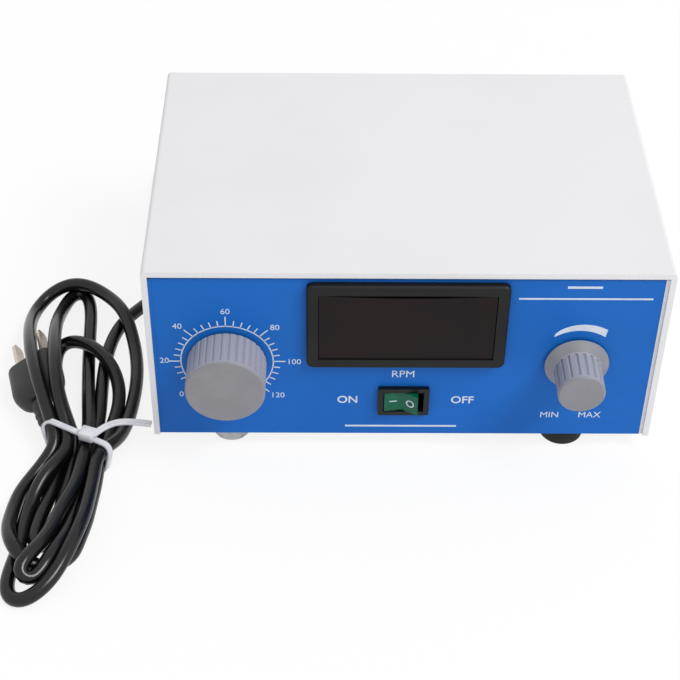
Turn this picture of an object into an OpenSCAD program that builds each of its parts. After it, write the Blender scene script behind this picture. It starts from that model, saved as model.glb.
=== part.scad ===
// Control unit of an overhead laboratory stirrer: a folded steel case with a printed front,
// a clockwork timer, a speed control, a speed display, a lit rocker switch and a mains lead.
// X runs to the right, Y to the back and Z up; the feet stand on Z = 0.

/* [Case] */
// Width of the cover
case_w = 205; // [190:1:240]
// Depth of the cover, front edge to rear edge
case_d = 142; // [130:1:180]
// Height of the cover
case_h = 86; // [84:1:110]
// Thickness of the steel sheet
sheet_t = 1.2; // [0.8:0.1:1.6]
// Width of the hems folded back at the cover's front and rear edges
hem_w = 8; // [5:0.5:12]
// Outer radius of the folded edges
bend_r = 1.8; // [1.7:0.1:2.4]
// Depth of the printed front and of the rear plate behind the cover's edges
recess = 1; // [0.6:0.1:3]
// How far the tray's bottom lies below the cover's side edges
tray_drop = 1; // [0:0.5:3]
// Height of the tray's side lips, which take the cover's screws
lip_h = 14; // [12:1:20]
// Gap between the cover and the tray
case_gap = 0.3; // [0.2:0.1:0.5]
// Distance of the cover's screws from its front and rear edges
cover_screw_inset = 26; // [20:1:40]

/* [Front print] */
// Thickness of the printed front sheet
label_t = 0.5; // [0.3:0.1:1]
// Bare edge left around the printed sheet
label_margin = 1.1; // [0.5:0.1:3]

/* [Timer] */
// Distance of the timer's axis from the case's left side
timer_inset = 31.5; // [28:0.5:40]
// Height of both knobs' axes above the cover's lower edge
knob_h = 40; // [34:0.5:46]
// Diameter of the timer knob
timer_knob_d = 31.5; // [28:0.5:34]
// Reach of the timer knob in front of the printed sheet
timer_knob_reach = 18.2; // [16:0.1:22]
// Number of grooves around the timer knob
timer_grooves = 32; // [24:1:36]
// Diameter of the clockwork's case
movement_d = 42; // [38:1:46]
// Depth of the clockwork's case
movement_depth = 26; // [20:1:32]

/* [Speed control] */
// Distance of the speed control's axis from the case's right side
speed_inset = 34; // [30:0.5:40]
// Diameter of the speed knob's skirt
skirt_d = 25.6; // [23:0.2:28]
// Diameter of the speed knob's grip
grip_d = 18.6; // [17:0.2:20]
// Reach of the speed knob in front of the printed sheet
speed_knob_reach = 19; // [17:0.1:22]
// Number of grooves around the grip
speed_grooves = 18; // [14:1:22]
// Diameter of the potentiometer's can
pot_d = 24; // [20:1:28]
// Depth of the potentiometer's can
pot_depth = 10; // [8:1:14]

/* [Spindles] */
// Diameter of both spindles
spindle_d = 6; // [5.8:0.1:6.35]
// Running clearance of a spindle or pin, measured on the radius
run_gap = 0.06; // [0.03:0.01:0.09]
// Clearance of a fixed part in its hole, measured on the radius
fit_gap = 0.2; // [0.1:0.05:0.3]
// Gap between a knob and the printed sheet
knob_gap = 0.9; // [0.5:0.1:1]
// Wall of both knobs
knob_wall = 2.2; // [1.8:0.1:2.6]

/* [Display] */
// Width of the display's bezel
bezel_w = 78.6; // [76:0.2:82]
// Height of the display's bezel
bezel_h = 42; // [40:0.2:44]
// How far the bezel stands in front of the printed sheet
bezel_t = 3; // [2:0.2:4]
// Width of the bezel's rim beside the window
bezel_rim = 4.6; // [4:0.1:5.2]
// Distance of the display's centre below the cover's top
display_drop = 26; // [25:0.5:28]
// Thickness of the window pane
pane_t = 1.6; // [1.2:0.1:2]
// Depth of the display's housing behind the printed sheet
display_depth = 22; // [18:1:28]

/* [Switch] */
// Width of the switch's frame
switch_w = 20.8; // [20.4:0.1:22]
// Height of the switch's frame
switch_hgt = 14.4; // [14.2:0.1:15.4]
// How far the switch's frame stands in front of the printed sheet
switch_t = 2; // [1.6:0.1:2.4]
// Height of the switch's centre above the cover's lower edge
switch_h = 19.5; // [16:0.5:22]
// Angle through which the rocker turns
rocker_angle = 22; // [18:1:22]

/* [Feet] */
// Height of the feet
foot_h = 7.5; // [6:0.5:12]
// Diameter of the feet
foot_d = 16.4; // [14:0.2:20]
// Distance of the front left foot from the case's left side
left_foot_inset = 31.5; // [14:0.5:40]
// Distance of the front right foot from the case's right side
right_foot_inset = 34.5; // [14:0.5:40]
// Distance of the front feet from the cover's front edge
front_foot_inset = 12; // [10:0.5:30]
// Distance of the rear feet from the case's sides and rear
rear_foot_inset = 16; // [14:1:30]

/* [Rear plate] */
// Distance of the mains lead's exit from the case's left side
lead_inset = 30.5; // [24:0.5:36]
// Height of the mains lead and the fuse above the cover's lower edge
lead_h = 26; // [20:1:30]
// Length of the strain relief behind the rear plate
relief_len = 31; // [25:1:40]
// Distance of the fuse holder from the mains lead
fuse_step = 34; // [24:1:40]
// Distance of the motor's socket from the case's right side
socket_inset = 40; // [30:1:50]
// Height of the motor's socket above the cover's lower edge
socket_h = 40; // [30:1:50]
// Diameter of the motor socket's shell
socket_d = 15.8; // [15:0.1:19]
// Number of vent slots in each row
vent_slots = 9; // [5:1:12]

/* [Control board] */
// Width of the control board
board_w = 112; // [100:1:130]
// Depth of the control board
board_d = 74; // [66:1:80]
// Height of the stand-offs
standoff_h = 8; // [5:1:12]

/* [Mains lead] */
// Diameter of the mains cord
cord_d = 5.8; // [5:0.1:7]
// Height of the tied hank
hank_h = 14; // [12:0.5:18]
// Thickness of the plug's body
plug_t = 13; // [12:0.5:14]
// Depth of the plug's body, from the back to the blades' face
plug_depth = 23; // [20:0.5:26]

/* [Hidden] */
$fn = 64;
HULL_FN = 32;

// Where the case stands
front_y = -(case_d - recess + relief_len - (speed_knob_reach - recess)) / 2;
rear_y = front_y + case_d;
cover_z = foot_h + tray_drop;
face_y = front_y + recess;
rear_face_y = rear_y - recess;
inner_w = case_w - 4 * sheet_t;
plate_w = inner_w - 2 * case_gap;
tray_h = case_h + tray_drop - 2 * sheet_t - case_gap;
tray_front_y = face_y + label_t;
floor_z = foot_h + sheet_t;
inner_bend_r = 0.2;
tray_bend_r = sheet_t + inner_bend_r;
label_w = plate_w - 2 * label_margin;
label_h = tray_h - 2 * label_margin;

// Places on the front and on the rear plate
timer_x = timer_inset - case_w / 2;
speed_x = case_w / 2 - speed_inset;
lead_x = lead_inset - case_w / 2;
fuse_x = lead_x + fuse_step;
socket_x = case_w / 2 - socket_inset;
vent_x = (fuse_x + socket_x) / 2;
vent_drop = 24;
vent_h = case_h - vent_drop;
display_h = case_h - display_drop;
vent_size = [3, 14];
vent_pitch = 7;

// Cover screws, feet and their screws
screw_d = 4;
screw_head_d = 7;
screw_head_t = 2.2;
cover_screw_z = floor_z + lip_h / 2 + 1;
cover_screw_ys = [front_y + cover_screw_inset, rear_y - cover_screw_inset];
foot_places = [
    [case_w / 2 - right_foot_inset, front_y + front_foot_inset],
    [case_w / 2 - rear_foot_inset, rear_y - rear_foot_inset],
    [rear_foot_inset - case_w / 2, rear_y - rear_foot_inset],
];
steel_foot_place = [left_foot_inset - case_w / 2, front_y + front_foot_inset];
foot_recess_d = 9;
foot_recess_h = 3.4;

// Bushings, nuts and spindles behind the knobs
plate_back = -(label_t + sheet_t);
timer_bush_d = 9.5;
pot_bush_d = 9;
pot_tag = [2, 8, 0.8];
pot_tag_pitch = 5;
nut_flats = 12.5;
nut_t = 2.2;
washer_t = 0.6;
washer_d = 14;
bush_end = washer_t + nut_t + 0.6;
spindle_back = -9;
spindle_flat = spindle_d / 2 - 1.4;
hub_d = spindle_d + 5;
hub_back = bush_end + 0.4;
hub_depth = 10;
web_t = 1.6;
web_drop = 1;
groove_d = 1.4;
groove_rim = 1.6;
edge_cut = 0.5;
skirt_t = 1.2;
cone_h = 2.6;

// Display
bezel_r = 2.6;
window_w = bezel_w - 2 * bezel_rim;
window_h = bezel_h - 2 * bezel_rim;
pane_gap = 0.3;
pane_sink = 0.5;
pane_bow = 1.2;
ledge_w = 1.5;
body_wall = 1.6;
body_w = bezel_w - 3.4;
body_h = bezel_h - 3.4;
board_t = 1.6;
display_board_z = -display_depth + 6;
digits_w = 50.4;
digits_h = 19;
digits_t = 8;

// Rocker switch
cavity_w = 16.4;
cavity_h = 10.4;
switch_body_w = switch_w - 1.8;
switch_body_h = switch_hgt - 1.2;
switch_depth = 16;
cavity_depth = 8;
pivot_z = -2;
pivot_d = 2.4;
rocker_half = 6.9;
rocker_h = cavity_h - 0.7;
rocker_top = 3.4;
rocker_valley = 1.2;
terminal_size = [0.8, 4.8, 9];

// Rear fittings
relief_flange_d = 17;
relief_flange_t = 3;
relief_root_d = 12.4;
relief_tip_d = cord_d + 2.4;
relief_hole_d = 12.6;
fuse_body_d = 12;
fuse_flange_d = 16;
fuse_cap_d = 12.4;
fuse_cap_len = 9;
fuse_depth = 30;
fuse_bore_d = 7;
fuse_link_d = 5.2;
fuse_link_len = 20;
socket_len = 10;
socket_flange_d = 20;
socket_flange_t = 2.4;
socket_back = 9;
insert_d = 12;
pin_hole_d = 2.2;
pin_ring_r = 3.2;
pin_count = 4;

// Control board and what stands on it
board_x = 18;
board_y = front_y + case_d / 2 + 12;
board_z = floor_z + standoff_h;
board_hole_inset = 5;
board_gap = 1.2;
board_screw_d = 3;
transformer_size = [40, 34, 30];
transformer_at = [-30, -8];
sink_size = [46, 22, 34];
sink_at = [22, 20];
sink_fins = 8;
fin_t = 1.6;
sink_base_t = 4;
capacitor_at = [[8, -16], [26, -16]];
capacitor_d = 16;
capacitor_h = 25;
terminal_poles = 6;
terminal_pitch = 7.6;
terminal_h = 11;
terminal_d = 10;
terminal_screw_d = 4.4;
terminal_screw_depth = 5;
terminal_wire = [4, 6, 3.6];
terminal_at = [
    sink_at[0] - sink_size[0] / 2 - board_gap - terminal_poles * terminal_pitch / 2,
    sink_at[1] + sink_size[1] / 2 - terminal_d / 2
];
triac_body = [10, 4.5, 9];
triac_tab = [10, 1.3, 6.5];
triac_lead = [0.8, 0.5, 6];
triac_pitch = 2.5;

// The mains lead: the free stretch, the tied hank, the tie and the plug
CORD_SIDES = 10;
CORD_ROUTE = [
    [-72, 95, 34.5], [-72, 100, 34.5], [-72, 106, 34], [-73, 112, 31], [-76, 119, 24],
    [-82, 125, 15], [-91, 129, 7], [-101, 129, 3], [-110, 124, 3], [-116, 115, 3],
    [-118, 103, 3], [-117, 88, 3], [-113, 72, 3], [-109, 56, 3], [-107, 42, 3],
    [-108, 28, 3], [-111, 18, 3], [-115, 12, 3],
];
HANK_TOP = [-138, -5];
HANK_WAIST = [-133, -86];
HANK_BELLY = [-139, -122];
HANK_TIP = [-148, -156];
hank_top_r = 28;
hank_waist_r = 12.5;
hank_belly_r = 20;
hank_tip_r = 9;
tie_w = 2.6;
tie_t = 1.3;
tie_turn = -21;
tie_head = [6.5, 5.4, 4.6];
tie_tail = 24;
PLUG_AT = [-163, -38];
plug_turn = 15.5;
plug_lean = 30;
plug_r = 5.5;
plug_z = plug_r + (plug_t / 2 - plug_r) * (sin(plug_lean) + cos(plug_lean));
plug_back = 9;
plug_taper = 6;
blade_size = [1.5, 6.3, 17];
blade_gap = 12.7;
blade_tip = 1.4;

// Sets a piece on the printed front: its own Z points to the front, its Y points up
module on_front(x, h) {
    translate([x, face_y, cover_z + h]) rotate([90, 0, 0]) children();
}

// Sets a piece on the rear plate: its own Z points to the back, its Y points up
module on_rear(x, h) {
    translate([x, rear_face_y, cover_z + h]) rotate([0, 0, 180]) rotate([90, 0, 0]) children();
}

// Rectangle centred on the origin with rounded corners
module round_rect(w, h, r) {
    square([w - 2 * r, h], center = true);
    square([w, h - 2 * r], center = true);
    for (x = [-1, 1], y = [-1, 1])
        translate([x * (w / 2 - r), y * (h / 2 - r)]) circle(r);
}

// Arch with two rounded upper corners, standing on the X axis
module arch(w, h, r) {
    translate([-w / 2, 0]) square([w, h - r]);
    translate([r - w / 2, 0]) square([w - 2 * r, h]);
    for (x = [-1, 1]) translate([x * (w / 2 - r), h - r]) circle(r);
}

// Bent sheet of one thickness in the arch's outline
module bent_sheet(w, h, r) {
    difference() {
        arch(w, h, r);
        translate([0, -sheet_t]) arch(w - 2 * sheet_t, h, max(r - sheet_t, inner_bend_r));
    }
}

// Hexagonal nut across flats
module hex_nut(flats, t, hole) {
    difference() {
        cylinder(d = flats / cos(30), h = t, $fn = 6);
        translate([0, 0, -1]) cylinder(d = hole, h = t + 2);
    }
}

// Spindle with a flat towards its front end
module spindle(back, front, flat_from) {
    difference() {
        translate([0, 0, back]) cylinder(d = spindle_d, h = front - back);
        translate([-spindle_d, spindle_flat, flat_from]) cube([2 * spindle_d, spindle_d, front]);
    }
}

// Hole for a spindle with a flat, closed at its front end
module spindle_hole(back, depth) {
    difference() {
        translate([0, 0, back - 1]) cylinder(d = spindle_d + 2 * run_gap, h = depth + 1);
        translate([-spindle_d, spindle_flat + run_gap, back - 2])
            cube([2 * spindle_d, spindle_d, depth + 4]);
    }
}

// Ring of grooves cut along a grip
module grooves(count, d, back, front) {
    for (i = [0 : count - 1])
        rotate([0, 0, 360 * (i + 0.5) / count]) translate([0, d / 2 + groove_d / 5, back])
            cylinder(d = groove_d, h = front - back, $fn = 16);
}

// Screw with a round head; its head lies below Z = 0 and its thread above
module round_screw(d, head_d, head_t, len) {
    difference() {
        union() {
            cylinder(d = d, h = len);
            translate([0, 0, -head_t]) cylinder(d = head_d, h = head_t);
        }
        for (a = [0, 90]) rotate([0, 0, a])
            translate([-head_d / 4, -0.5, -head_t - 1]) cube([head_d / 2, 1, 2]);
    }
}

module cover_holes() {
    for (y = cover_screw_ys)
        translate([-case_w / 2 - 1, y, cover_screw_z]) rotate([0, 90, 0])
            cylinder(d = screw_d + 2 * fit_gap, h = case_w + 2);
}

module cover() {
    color("whitesmoke") difference() {
        translate([0, rear_y, cover_z]) rotate([90, 0, 0]) {
            linear_extrude(case_d) bent_sheet(case_w, case_h, bend_r);
            for (y = [0, case_d - hem_w]) translate([0, 0, y]) linear_extrude(hem_w)
                bent_sheet(case_w - 2 * sheet_t, case_h - sheet_t, bend_r - sheet_t);
        }
        cover_holes();
    }
}

// The tray's openings for the front fittings; the printed sheet has the same ones
module front_openings(from, depth) {
    on_front(0, display_h) translate([0, 0, from]) linear_extrude(depth)
        square([body_w + 2 * fit_gap, body_h + 2 * fit_gap], center = true);
    on_front(0, switch_h) translate([0, 0, from]) linear_extrude(depth)
        square([switch_body_w + 2 * fit_gap, switch_body_h + 2 * fit_gap], center = true);
    on_front(timer_x, knob_h) translate([0, 0, from])
        cylinder(d = timer_bush_d + 2 * fit_gap, h = depth);
    on_front(speed_x, knob_h) translate([0, 0, from])
        cylinder(d = pot_bush_d + 2 * fit_gap, h = depth);
}

module rear_openings() {
    on_rear(lead_x, lead_h) translate([0, 0, -sheet_t - 1])
        cylinder(d = relief_hole_d + 2 * fit_gap, h = sheet_t + 2);
    on_rear(fuse_x, lead_h) translate([0, 0, -sheet_t - 1])
        cylinder(d = fuse_body_d + 2 * fit_gap, h = sheet_t + 2);
    on_rear(socket_x, socket_h) translate([0, 0, -sheet_t - 1])
        cylinder(d = socket_d + 2 * fit_gap, h = sheet_t + 2);
    for (i = [0 : vent_slots - 1])
        on_rear(vent_x + (i - (vent_slots - 1) / 2) * vent_pitch, vent_h)
            translate([0, 0, -sheet_t - 1]) linear_extrude(sheet_t + 2)
                round_rect(vent_size[0], vent_size[1], vent_size[0] / 2 - 0.01);
}

module tray() {
    tray_d = rear_face_y - tray_front_y;
    color("gainsboro") difference() {
        union() {
            translate([-plate_w / 2, tray_front_y + tray_d / 2, foot_h + tray_h])
                rotate([90, 180, 90]) linear_extrude(plate_w)
                    bent_sheet(tray_d, tray_h, tray_bend_r);
            for (side = [-1, 1]) translate([
                side * (case_w / 2 - sheet_t - case_gap - sheet_t / 2) - sheet_t / 2,
                front_y + hem_w + case_gap, foot_h])
                cube([sheet_t, case_d - 2 * (hem_w + case_gap), lip_h + sheet_t]);
            translate([sheet_t + case_gap - case_w / 2, front_y + hem_w + case_gap, foot_h])
                cube([case_w - 2 * (sheet_t + case_gap), case_d - 2 * (hem_w + case_gap), sheet_t]);
        }
        front_openings(plate_back - 1, sheet_t + 2);
        rear_openings();
        for (y = cover_screw_ys) translate([-case_w / 2 - 1, y, cover_screw_z])
            rotate([0, 90, 0]) cylinder(d = screw_d, h = case_w + 2);
        for (p = concat(foot_places, [steel_foot_place])) translate([p[0], p[1], foot_h - 1])
            cylinder(d = screw_d + 2 * fit_gap, h = sheet_t + 2);
        for (p = board_corners()) translate([p[0], p[1], foot_h - 1])
            cylinder(d = board_screw_d + 2 * fit_gap, h = sheet_t + 2);
    }
}

module front_label() {
    color("royalblue") difference() {
        translate([-label_w / 2, face_y, foot_h + label_margin])
            cube([label_w, label_t, label_h]);
        front_openings(-label_t - 1, label_t + 2);
    }
}

module cover_screws() {
    reach = sheet_t * 2 + case_gap + 2;
    color("silver") for (y = cover_screw_ys, side = [-1, 1])
        translate([side * case_w / 2, y, cover_screw_z]) rotate([0, -side * 90, 0])
            round_screw(screw_d - 0.02, screw_head_d, screw_head_t, reach);
}

module display_bezel() {
    opening = [window_w - 2 * ledge_w, window_h - 2 * ledge_w];
    color("dimgray") on_front(0, display_h) difference() {
        union() {
            hull() {
                linear_extrude(bezel_t - 0.7) round_rect(bezel_w, bezel_h, bezel_r, $fn = HULL_FN);
                linear_extrude(bezel_t)
                    round_rect(bezel_w - 1.2, bezel_h - 1.2, bezel_r - 0.6, $fn = HULL_FN);
            }
            translate([0, 0, -display_depth]) linear_extrude(display_depth)
                square([body_w, body_h], center = true);
        }
        translate([0, 0, bezel_t - pane_sink - pane_t]) linear_extrude(pane_t + 2)
            square([window_w, window_h], center = true);
        translate([0, 0, -1]) linear_extrude(bezel_t + 2) square(opening, center = true);
        translate([0, 0, -display_depth - 1]) linear_extrude(display_depth + 1)
            square([body_w - 2 * body_wall, body_h - 2 * body_wall], center = true);
    }
}

// Window pane; its upper edge is bowed, lowest in the middle
module display_window() {
    w = window_w - 2 * pane_gap;
    h = window_h - 2 * pane_gap;
    color([0.25, 0.08, 0.08]) on_front(0, display_h)
        translate([0, 0, bezel_t - pane_sink - pane_t]) linear_extrude(pane_t) polygon(concat(
            [[-w / 2, -h / 2], [w / 2, -h / 2]],
            [for (i = [8 : -1 : -8]) [i * w / 16, h / 2 - pane_bow * (1 - i * i / 64)]]
        ));
}

module display_board() {
    color("darkgreen") on_front(0, display_h) translate([0, 0, display_board_z])
        linear_extrude(board_t)
            square([body_w - 2 * body_wall - 0.6, body_h - 2 * body_wall - 0.6], center = true);
}

module display_digits() {
    digit_w = digits_w / 4;
    color("black") on_front(0, display_h) translate([0, 0, display_board_z + board_t])
        difference() {
            linear_extrude(digits_t) square([digits_w, digits_h], center = true);
            for (i = [0 : 3], seg = [0 : 6])
                translate([(i - 1.5) * digit_w, 0, digits_t - 0.4]) segment(seg);
        }
}

// One of the seven bars of a digit, cut as a shallow recess
module segment(i) {
    bar = [5.4, 1.2];
    step = 3.5;
    places = [[0, 2, 0], [0, 0, 0], [0, -2, 0], [-1, 1, 90], [1, 1, 90], [-1, -1, 90], [1, -1, 90]];
    p = places[i];
    translate([p[0] * step, p[1] * step, 0]) rotate([0, 0, p[2]])
        linear_extrude(2) square(bar, center = true);
}

// Clockwork with its bushing, screwed through the front
module timer_movement() {
    color("lightgray") on_front(timer_x, knob_h) difference() {
        union() {
            translate([0, 0, plate_back - movement_depth]) cylinder(d = movement_d, h = movement_depth);
            translate([0, 0, plate_back - 1]) cylinder(d = timer_bush_d, h = bush_end - plate_back + 1);
            for (a = [45 : 90 : 315]) rotate([0, 0, a])
                translate([movement_d / 2 - 1, 0, plate_back - movement_depth / 2])
                    cylinder(d = 5, h = movement_depth - 2, center = true);
        }
        translate([0, 0, spindle_back - 1])
            cylinder(d = spindle_d + 2 * run_gap, h = bush_end - spindle_back + 2);
    }
}

module timer_nut() {
    color("silver") on_front(timer_x, knob_h) hex_nut(nut_flats + 1, nut_t, timer_bush_d + 0.1);
}

module timer_spindle() {
    color("silver") on_front(timer_x, knob_h)
        spindle(spindle_back, hub_back + hub_depth - 0.2, bush_end + 0.2);
}

// Straight grooved knob, hollow behind, with a hub on three webs
module timer_knob() {
    top = timer_knob_reach;
    r = timer_knob_d / 2;
    color("gray") on_front(timer_x, knob_h) difference() {
        union() {
            difference() {
                rotate_extrude() polygon([
                    [0, knob_gap], [r - 0.3, knob_gap], [r, knob_gap + 0.3],
                    [r, top - edge_cut], [r - edge_cut, top], [0, top],
                ]);
                translate([0, 0, -1]) cylinder(r = r - knob_wall, h = top - knob_wall + 1);
            }
            translate([0, 0, hub_back]) cylinder(d = hub_d, h = top - hub_back - 1);
            for (a = [30 : 120 : 270]) rotate([0, 0, a])
                translate([0, -web_t / 2, hub_back + web_drop])
                    cube([r - knob_wall / 2, web_t, top - hub_back - web_drop - 1]);
        }
        spindle_hole(hub_back, hub_depth);
        grooves(timer_grooves, timer_knob_d, 0, top - groove_rim);
    }
}

// Potentiometer with its bushing and three terminals
module speed_pot() {
    color("darkkhaki") on_front(speed_x, knob_h) difference() {
        union() {
            translate([0, 0, plate_back - pot_depth]) cylinder(d = pot_d, h = pot_depth);
            translate([0, 0, plate_back - 1]) cylinder(d = pot_bush_d, h = bush_end - plate_back + 1);
            for (i = [-1 : 1])
                translate([i * pot_tag_pitch - pot_tag[0] / 2, 2 - pot_d / 2 - pot_tag[1], 2 - pot_depth])
                    translate([0, 0, plate_back]) cube(pot_tag);
        }
        translate([0, 0, spindle_back - 1])
            cylinder(d = spindle_d + 2 * run_gap, h = bush_end - spindle_back + 2);
    }
}

module pot_washer() {
    color("silver") on_front(speed_x, knob_h) difference() {
        cylinder(d = washer_d, h = washer_t);
        translate([0, 0, -1]) cylinder(d = pot_bush_d + 0.2, h = washer_t + 2);
    }
}

module pot_nut() {
    color("silver") on_front(speed_x, knob_h) translate([0, 0, washer_t])
        hex_nut(nut_flats, nut_t, pot_bush_d + 0.1);
}

module pot_spindle() {
    color("silver") on_front(speed_x, knob_h)
        spindle(spindle_back, hub_back + hub_depth - 0.2, bush_end + 0.2);
}

// Knob with a flared skirt and a grooved grip, hollow behind
module speed_knob() {
    top = speed_knob_reach;
    r = grip_d / 2;
    cone_top = knob_gap + skirt_t + cone_h;
    color("gray") on_front(speed_x, knob_h) difference() {
        rotate_extrude() polygon([
            [0, knob_gap], [skirt_d / 2 - 0.3, knob_gap], [skirt_d / 2, knob_gap + 0.3],
            [skirt_d / 2, knob_gap + skirt_t - 0.3], [skirt_d / 2 - 0.4, knob_gap + skirt_t],
            [r + 0.4, cone_top], [r + 0.15, cone_top + 0.6],
            [r, top - edge_cut], [r - edge_cut, top], [0, top],
        ]);
        translate([0, 0, -1]) cylinder(r = nut_flats / 2 + 1.6, h = hub_back + 1);
        spindle_hole(hub_back, hub_depth);
        grooves(speed_grooves, grip_d, cone_top + 0.4, top - groove_rim);
    }
}

// Frame and body of the switch in one moulding
module switch_housing() {
    color("black") on_front(0, switch_h) difference() {
        union() {
            linear_extrude(switch_t) round_rect(switch_w, switch_hgt, 0.8);
            translate([0, 0, -switch_depth]) linear_extrude(switch_depth)
                square([switch_body_w, switch_body_h], center = true);
        }
        translate([0, 0, -cavity_depth]) linear_extrude(cavity_depth + switch_t + 1)
            square([cavity_w, cavity_h], center = true);
        translate([0, 0, pivot_z]) rotate([90, 0, 0])
            cylinder(d = pivot_d + 2 * run_gap, h = switch_body_h + 2, center = true);
    }
}

// Lit rocker; at rest its left half is pressed in
module switch_rocker() {
    color("seagreen") on_front(0, switch_h) translate([0, 0, pivot_z])
        rotate([0, -rocker_angle / 2, 0]) {
            rotate([90, 0, 0]) linear_extrude(rocker_h, center = true) polygon([
                for (p = [[-6.3, -0.5], [-rocker_half, rocker_top], [0, rocker_valley],
                    [rocker_half, rocker_top], [6.3, -0.5], [3.4, -4.6], [-3.4, -4.6]])
                    [p[0], p[1] - pivot_z]
            ]);
            rotate([90, 0, 0]) cylinder(d = pivot_d, h = switch_body_h - 0.4, center = true);
        }
}

module switch_terminals() {
    color("gold") on_front(0, switch_h) for (x = [-1, 0, 1])
        translate([x * 6 - terminal_size[0] / 2, -terminal_size[1] / 2, -switch_depth - terminal_size[2]])
            cube(terminal_size);
}

function board_corners() = [
    for (x = [-1, 1], y = [-1, 1]) [
        board_x + x * (board_w / 2 - board_hole_inset), board_y + y * (board_d / 2 - board_hole_inset)
    ]
];

// Sets a piece on the control board, measured from the board's centre
module on_board(at) {
    translate([board_x + at[0], board_y + at[1], board_z + board_t]) children();
}

module control_board() {
    color("green") difference() {
        translate([board_x - board_w / 2, board_y - board_d / 2, board_z])
            cube([board_w, board_d, board_t]);
        for (p = board_corners()) translate([p[0], p[1], board_z - 1])
            cylinder(d = board_screw_d + 2 * fit_gap, h = board_t + 2);
    }
}

module board_standoffs() {
    color("goldenrod") for (p = board_corners()) translate([p[0], p[1], floor_z])
        hex_nut(5.5, standoff_h, board_screw_d + 0.1);
}

// Screws into both ends of the stand-offs, through the board and through the tray
module board_screws() {
    reach = standoff_h / 2 - 0.5;
    color("silver") for (p = board_corners()) translate([p[0], p[1], 0]) {
        translate([0, 0, board_z + board_t]) rotate([180, 0, 0])
            round_screw(board_screw_d, 5.6, 1.8, board_t + reach);
        translate([0, 0, foot_h]) round_screw(board_screw_d, 5.6, 1.8, sheet_t + reach);
    }
}

// Laminated core with its coil
module transformer() {
    core = transformer_size;
    color("dimgray") on_board(transformer_at) {
        difference() {
            translate([-core[0] / 2, -core[1] / 4, 0]) cube([core[0], core[1] / 2, core[2]]);
            for (x = [-1, 1]) translate([x * core[0] / 4 - core[0] / 12, -core[1], core[2] / 5])
                cube([core[0] / 6, 2 * core[1], core[2] * 3 / 5]);
        }
        translate([-core[0] / 6 - core[0] / 6, -core[1] / 2, core[2] / 5 + 0.2])
            cube([core[0] * 2 / 3, core[1], core[2] * 3 / 5 - 0.4]);
    }
}

// Finned aluminium extrusion standing on the board
module heat_sink() {
    step = (sink_size[0] - fin_t) / (sink_fins - 1);
    color("silver") on_board(sink_at) {
        translate([-sink_size[0] / 2, -sink_size[1] / 2, 0])
            cube([sink_size[0], sink_base_t, sink_size[2]]);
        for (i = [0 : sink_fins - 1])
            translate([i * step - sink_size[0] / 2, -sink_size[1] / 2, 0])
                cube([fin_t, sink_size[1], sink_size[2]]);
    }
}

// Power semiconductor with its tab flat on the heat sink
module triac() {
    color("black") on_board(sink_at) {
        seat = -sink_size[1] / 2;
        translate([-triac_body[0] / 2, seat - triac_body[1], triac_lead[2]]) cube(triac_body);
        translate([-triac_tab[0] / 2, seat - triac_tab[1], triac_lead[2] + triac_body[2]]) cube(triac_tab);
        for (i = [-1 : 1])
            translate([i * triac_pitch - triac_lead[0] / 2, seat - triac_body[1] / 2, 0]) cube(triac_lead);
    }
}

module capacitors() {
    color("navy") for (p = capacitor_at) on_board(p) difference() {
        cylinder(d = capacitor_d, h = capacitor_h);
        for (a = [0, 90]) rotate([0, 0, a]) translate([-5, -0.4, capacitor_h - 0.4]) cube([10, 0.8, 1]);
    }
}

module terminal_block() {
    len = terminal_poles * terminal_pitch;
    color("forestgreen") on_board(terminal_at) difference() {
        translate([-len / 2, -terminal_d / 2, 0]) cube([len, terminal_d, terminal_h]);
        for (i = [0 : terminal_poles - 1])
            translate([(i + 0.5) * terminal_pitch - len / 2, 0, 0]) {
                translate([0, terminal_d / 6, terminal_h - terminal_screw_depth])
                    cylinder(d = terminal_screw_d, h = terminal_screw_depth + 1);
                translate([-terminal_wire[0] / 2, -terminal_d / 2 - 1, terminal_h / 6])
                    cube([terminal_wire[0], terminal_wire[1] + 1, terminal_wire[2]]);
            }
    }
}

// Panel fuse holder; its bore takes the fuse and the cap's nose
module fuse_holder() {
    color("black") on_rear(fuse_x, lead_h) difference() {
        union() {
            cylinder(d = fuse_flange_d, h = 2);
            translate([0, 0, -fuse_depth]) cylinder(d = fuse_body_d, h = fuse_depth);
        }
        translate([0, 0, 2 - fuse_depth]) cylinder(d = fuse_bore_d, h = fuse_depth + 1);
    }
}

module fuse_nut() {
    color("black") on_rear(fuse_x, lead_h) translate([0, 0, -sheet_t - 2.4])
        hex_nut(fuse_body_d + 4, 2.4, fuse_body_d + 0.1);
}

// Cap that turns a quarter turn to come off
module fuse_cap() {
    nose = 4;
    color("black") on_rear(fuse_x, lead_h) difference() {
        union() {
            translate([0, 0, 2.4]) cylinder(d = fuse_cap_d, h = fuse_cap_len - 1);
            translate([0, 0, fuse_cap_len + 1.4]) cylinder(d1 = fuse_cap_d, d2 = fuse_cap_d - 1.6, h = 0.8);
            translate([0, 0, 2.4 - nose]) cylinder(d = fuse_bore_d - 2 * fit_gap, h = nose);
        }
        translate([-fuse_cap_d, -0.7, fuse_cap_len + 0.8]) cube([2 * fuse_cap_d, 1.4, 3]);
        for (i = [0 : 15]) rotate([0, 0, i * 22.5]) translate([fuse_cap_d / 2 + 0.3, 0, 3.2])
            cylinder(d = 1.4, h = fuse_cap_len - 3, $fn = 16);
    }
}

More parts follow.
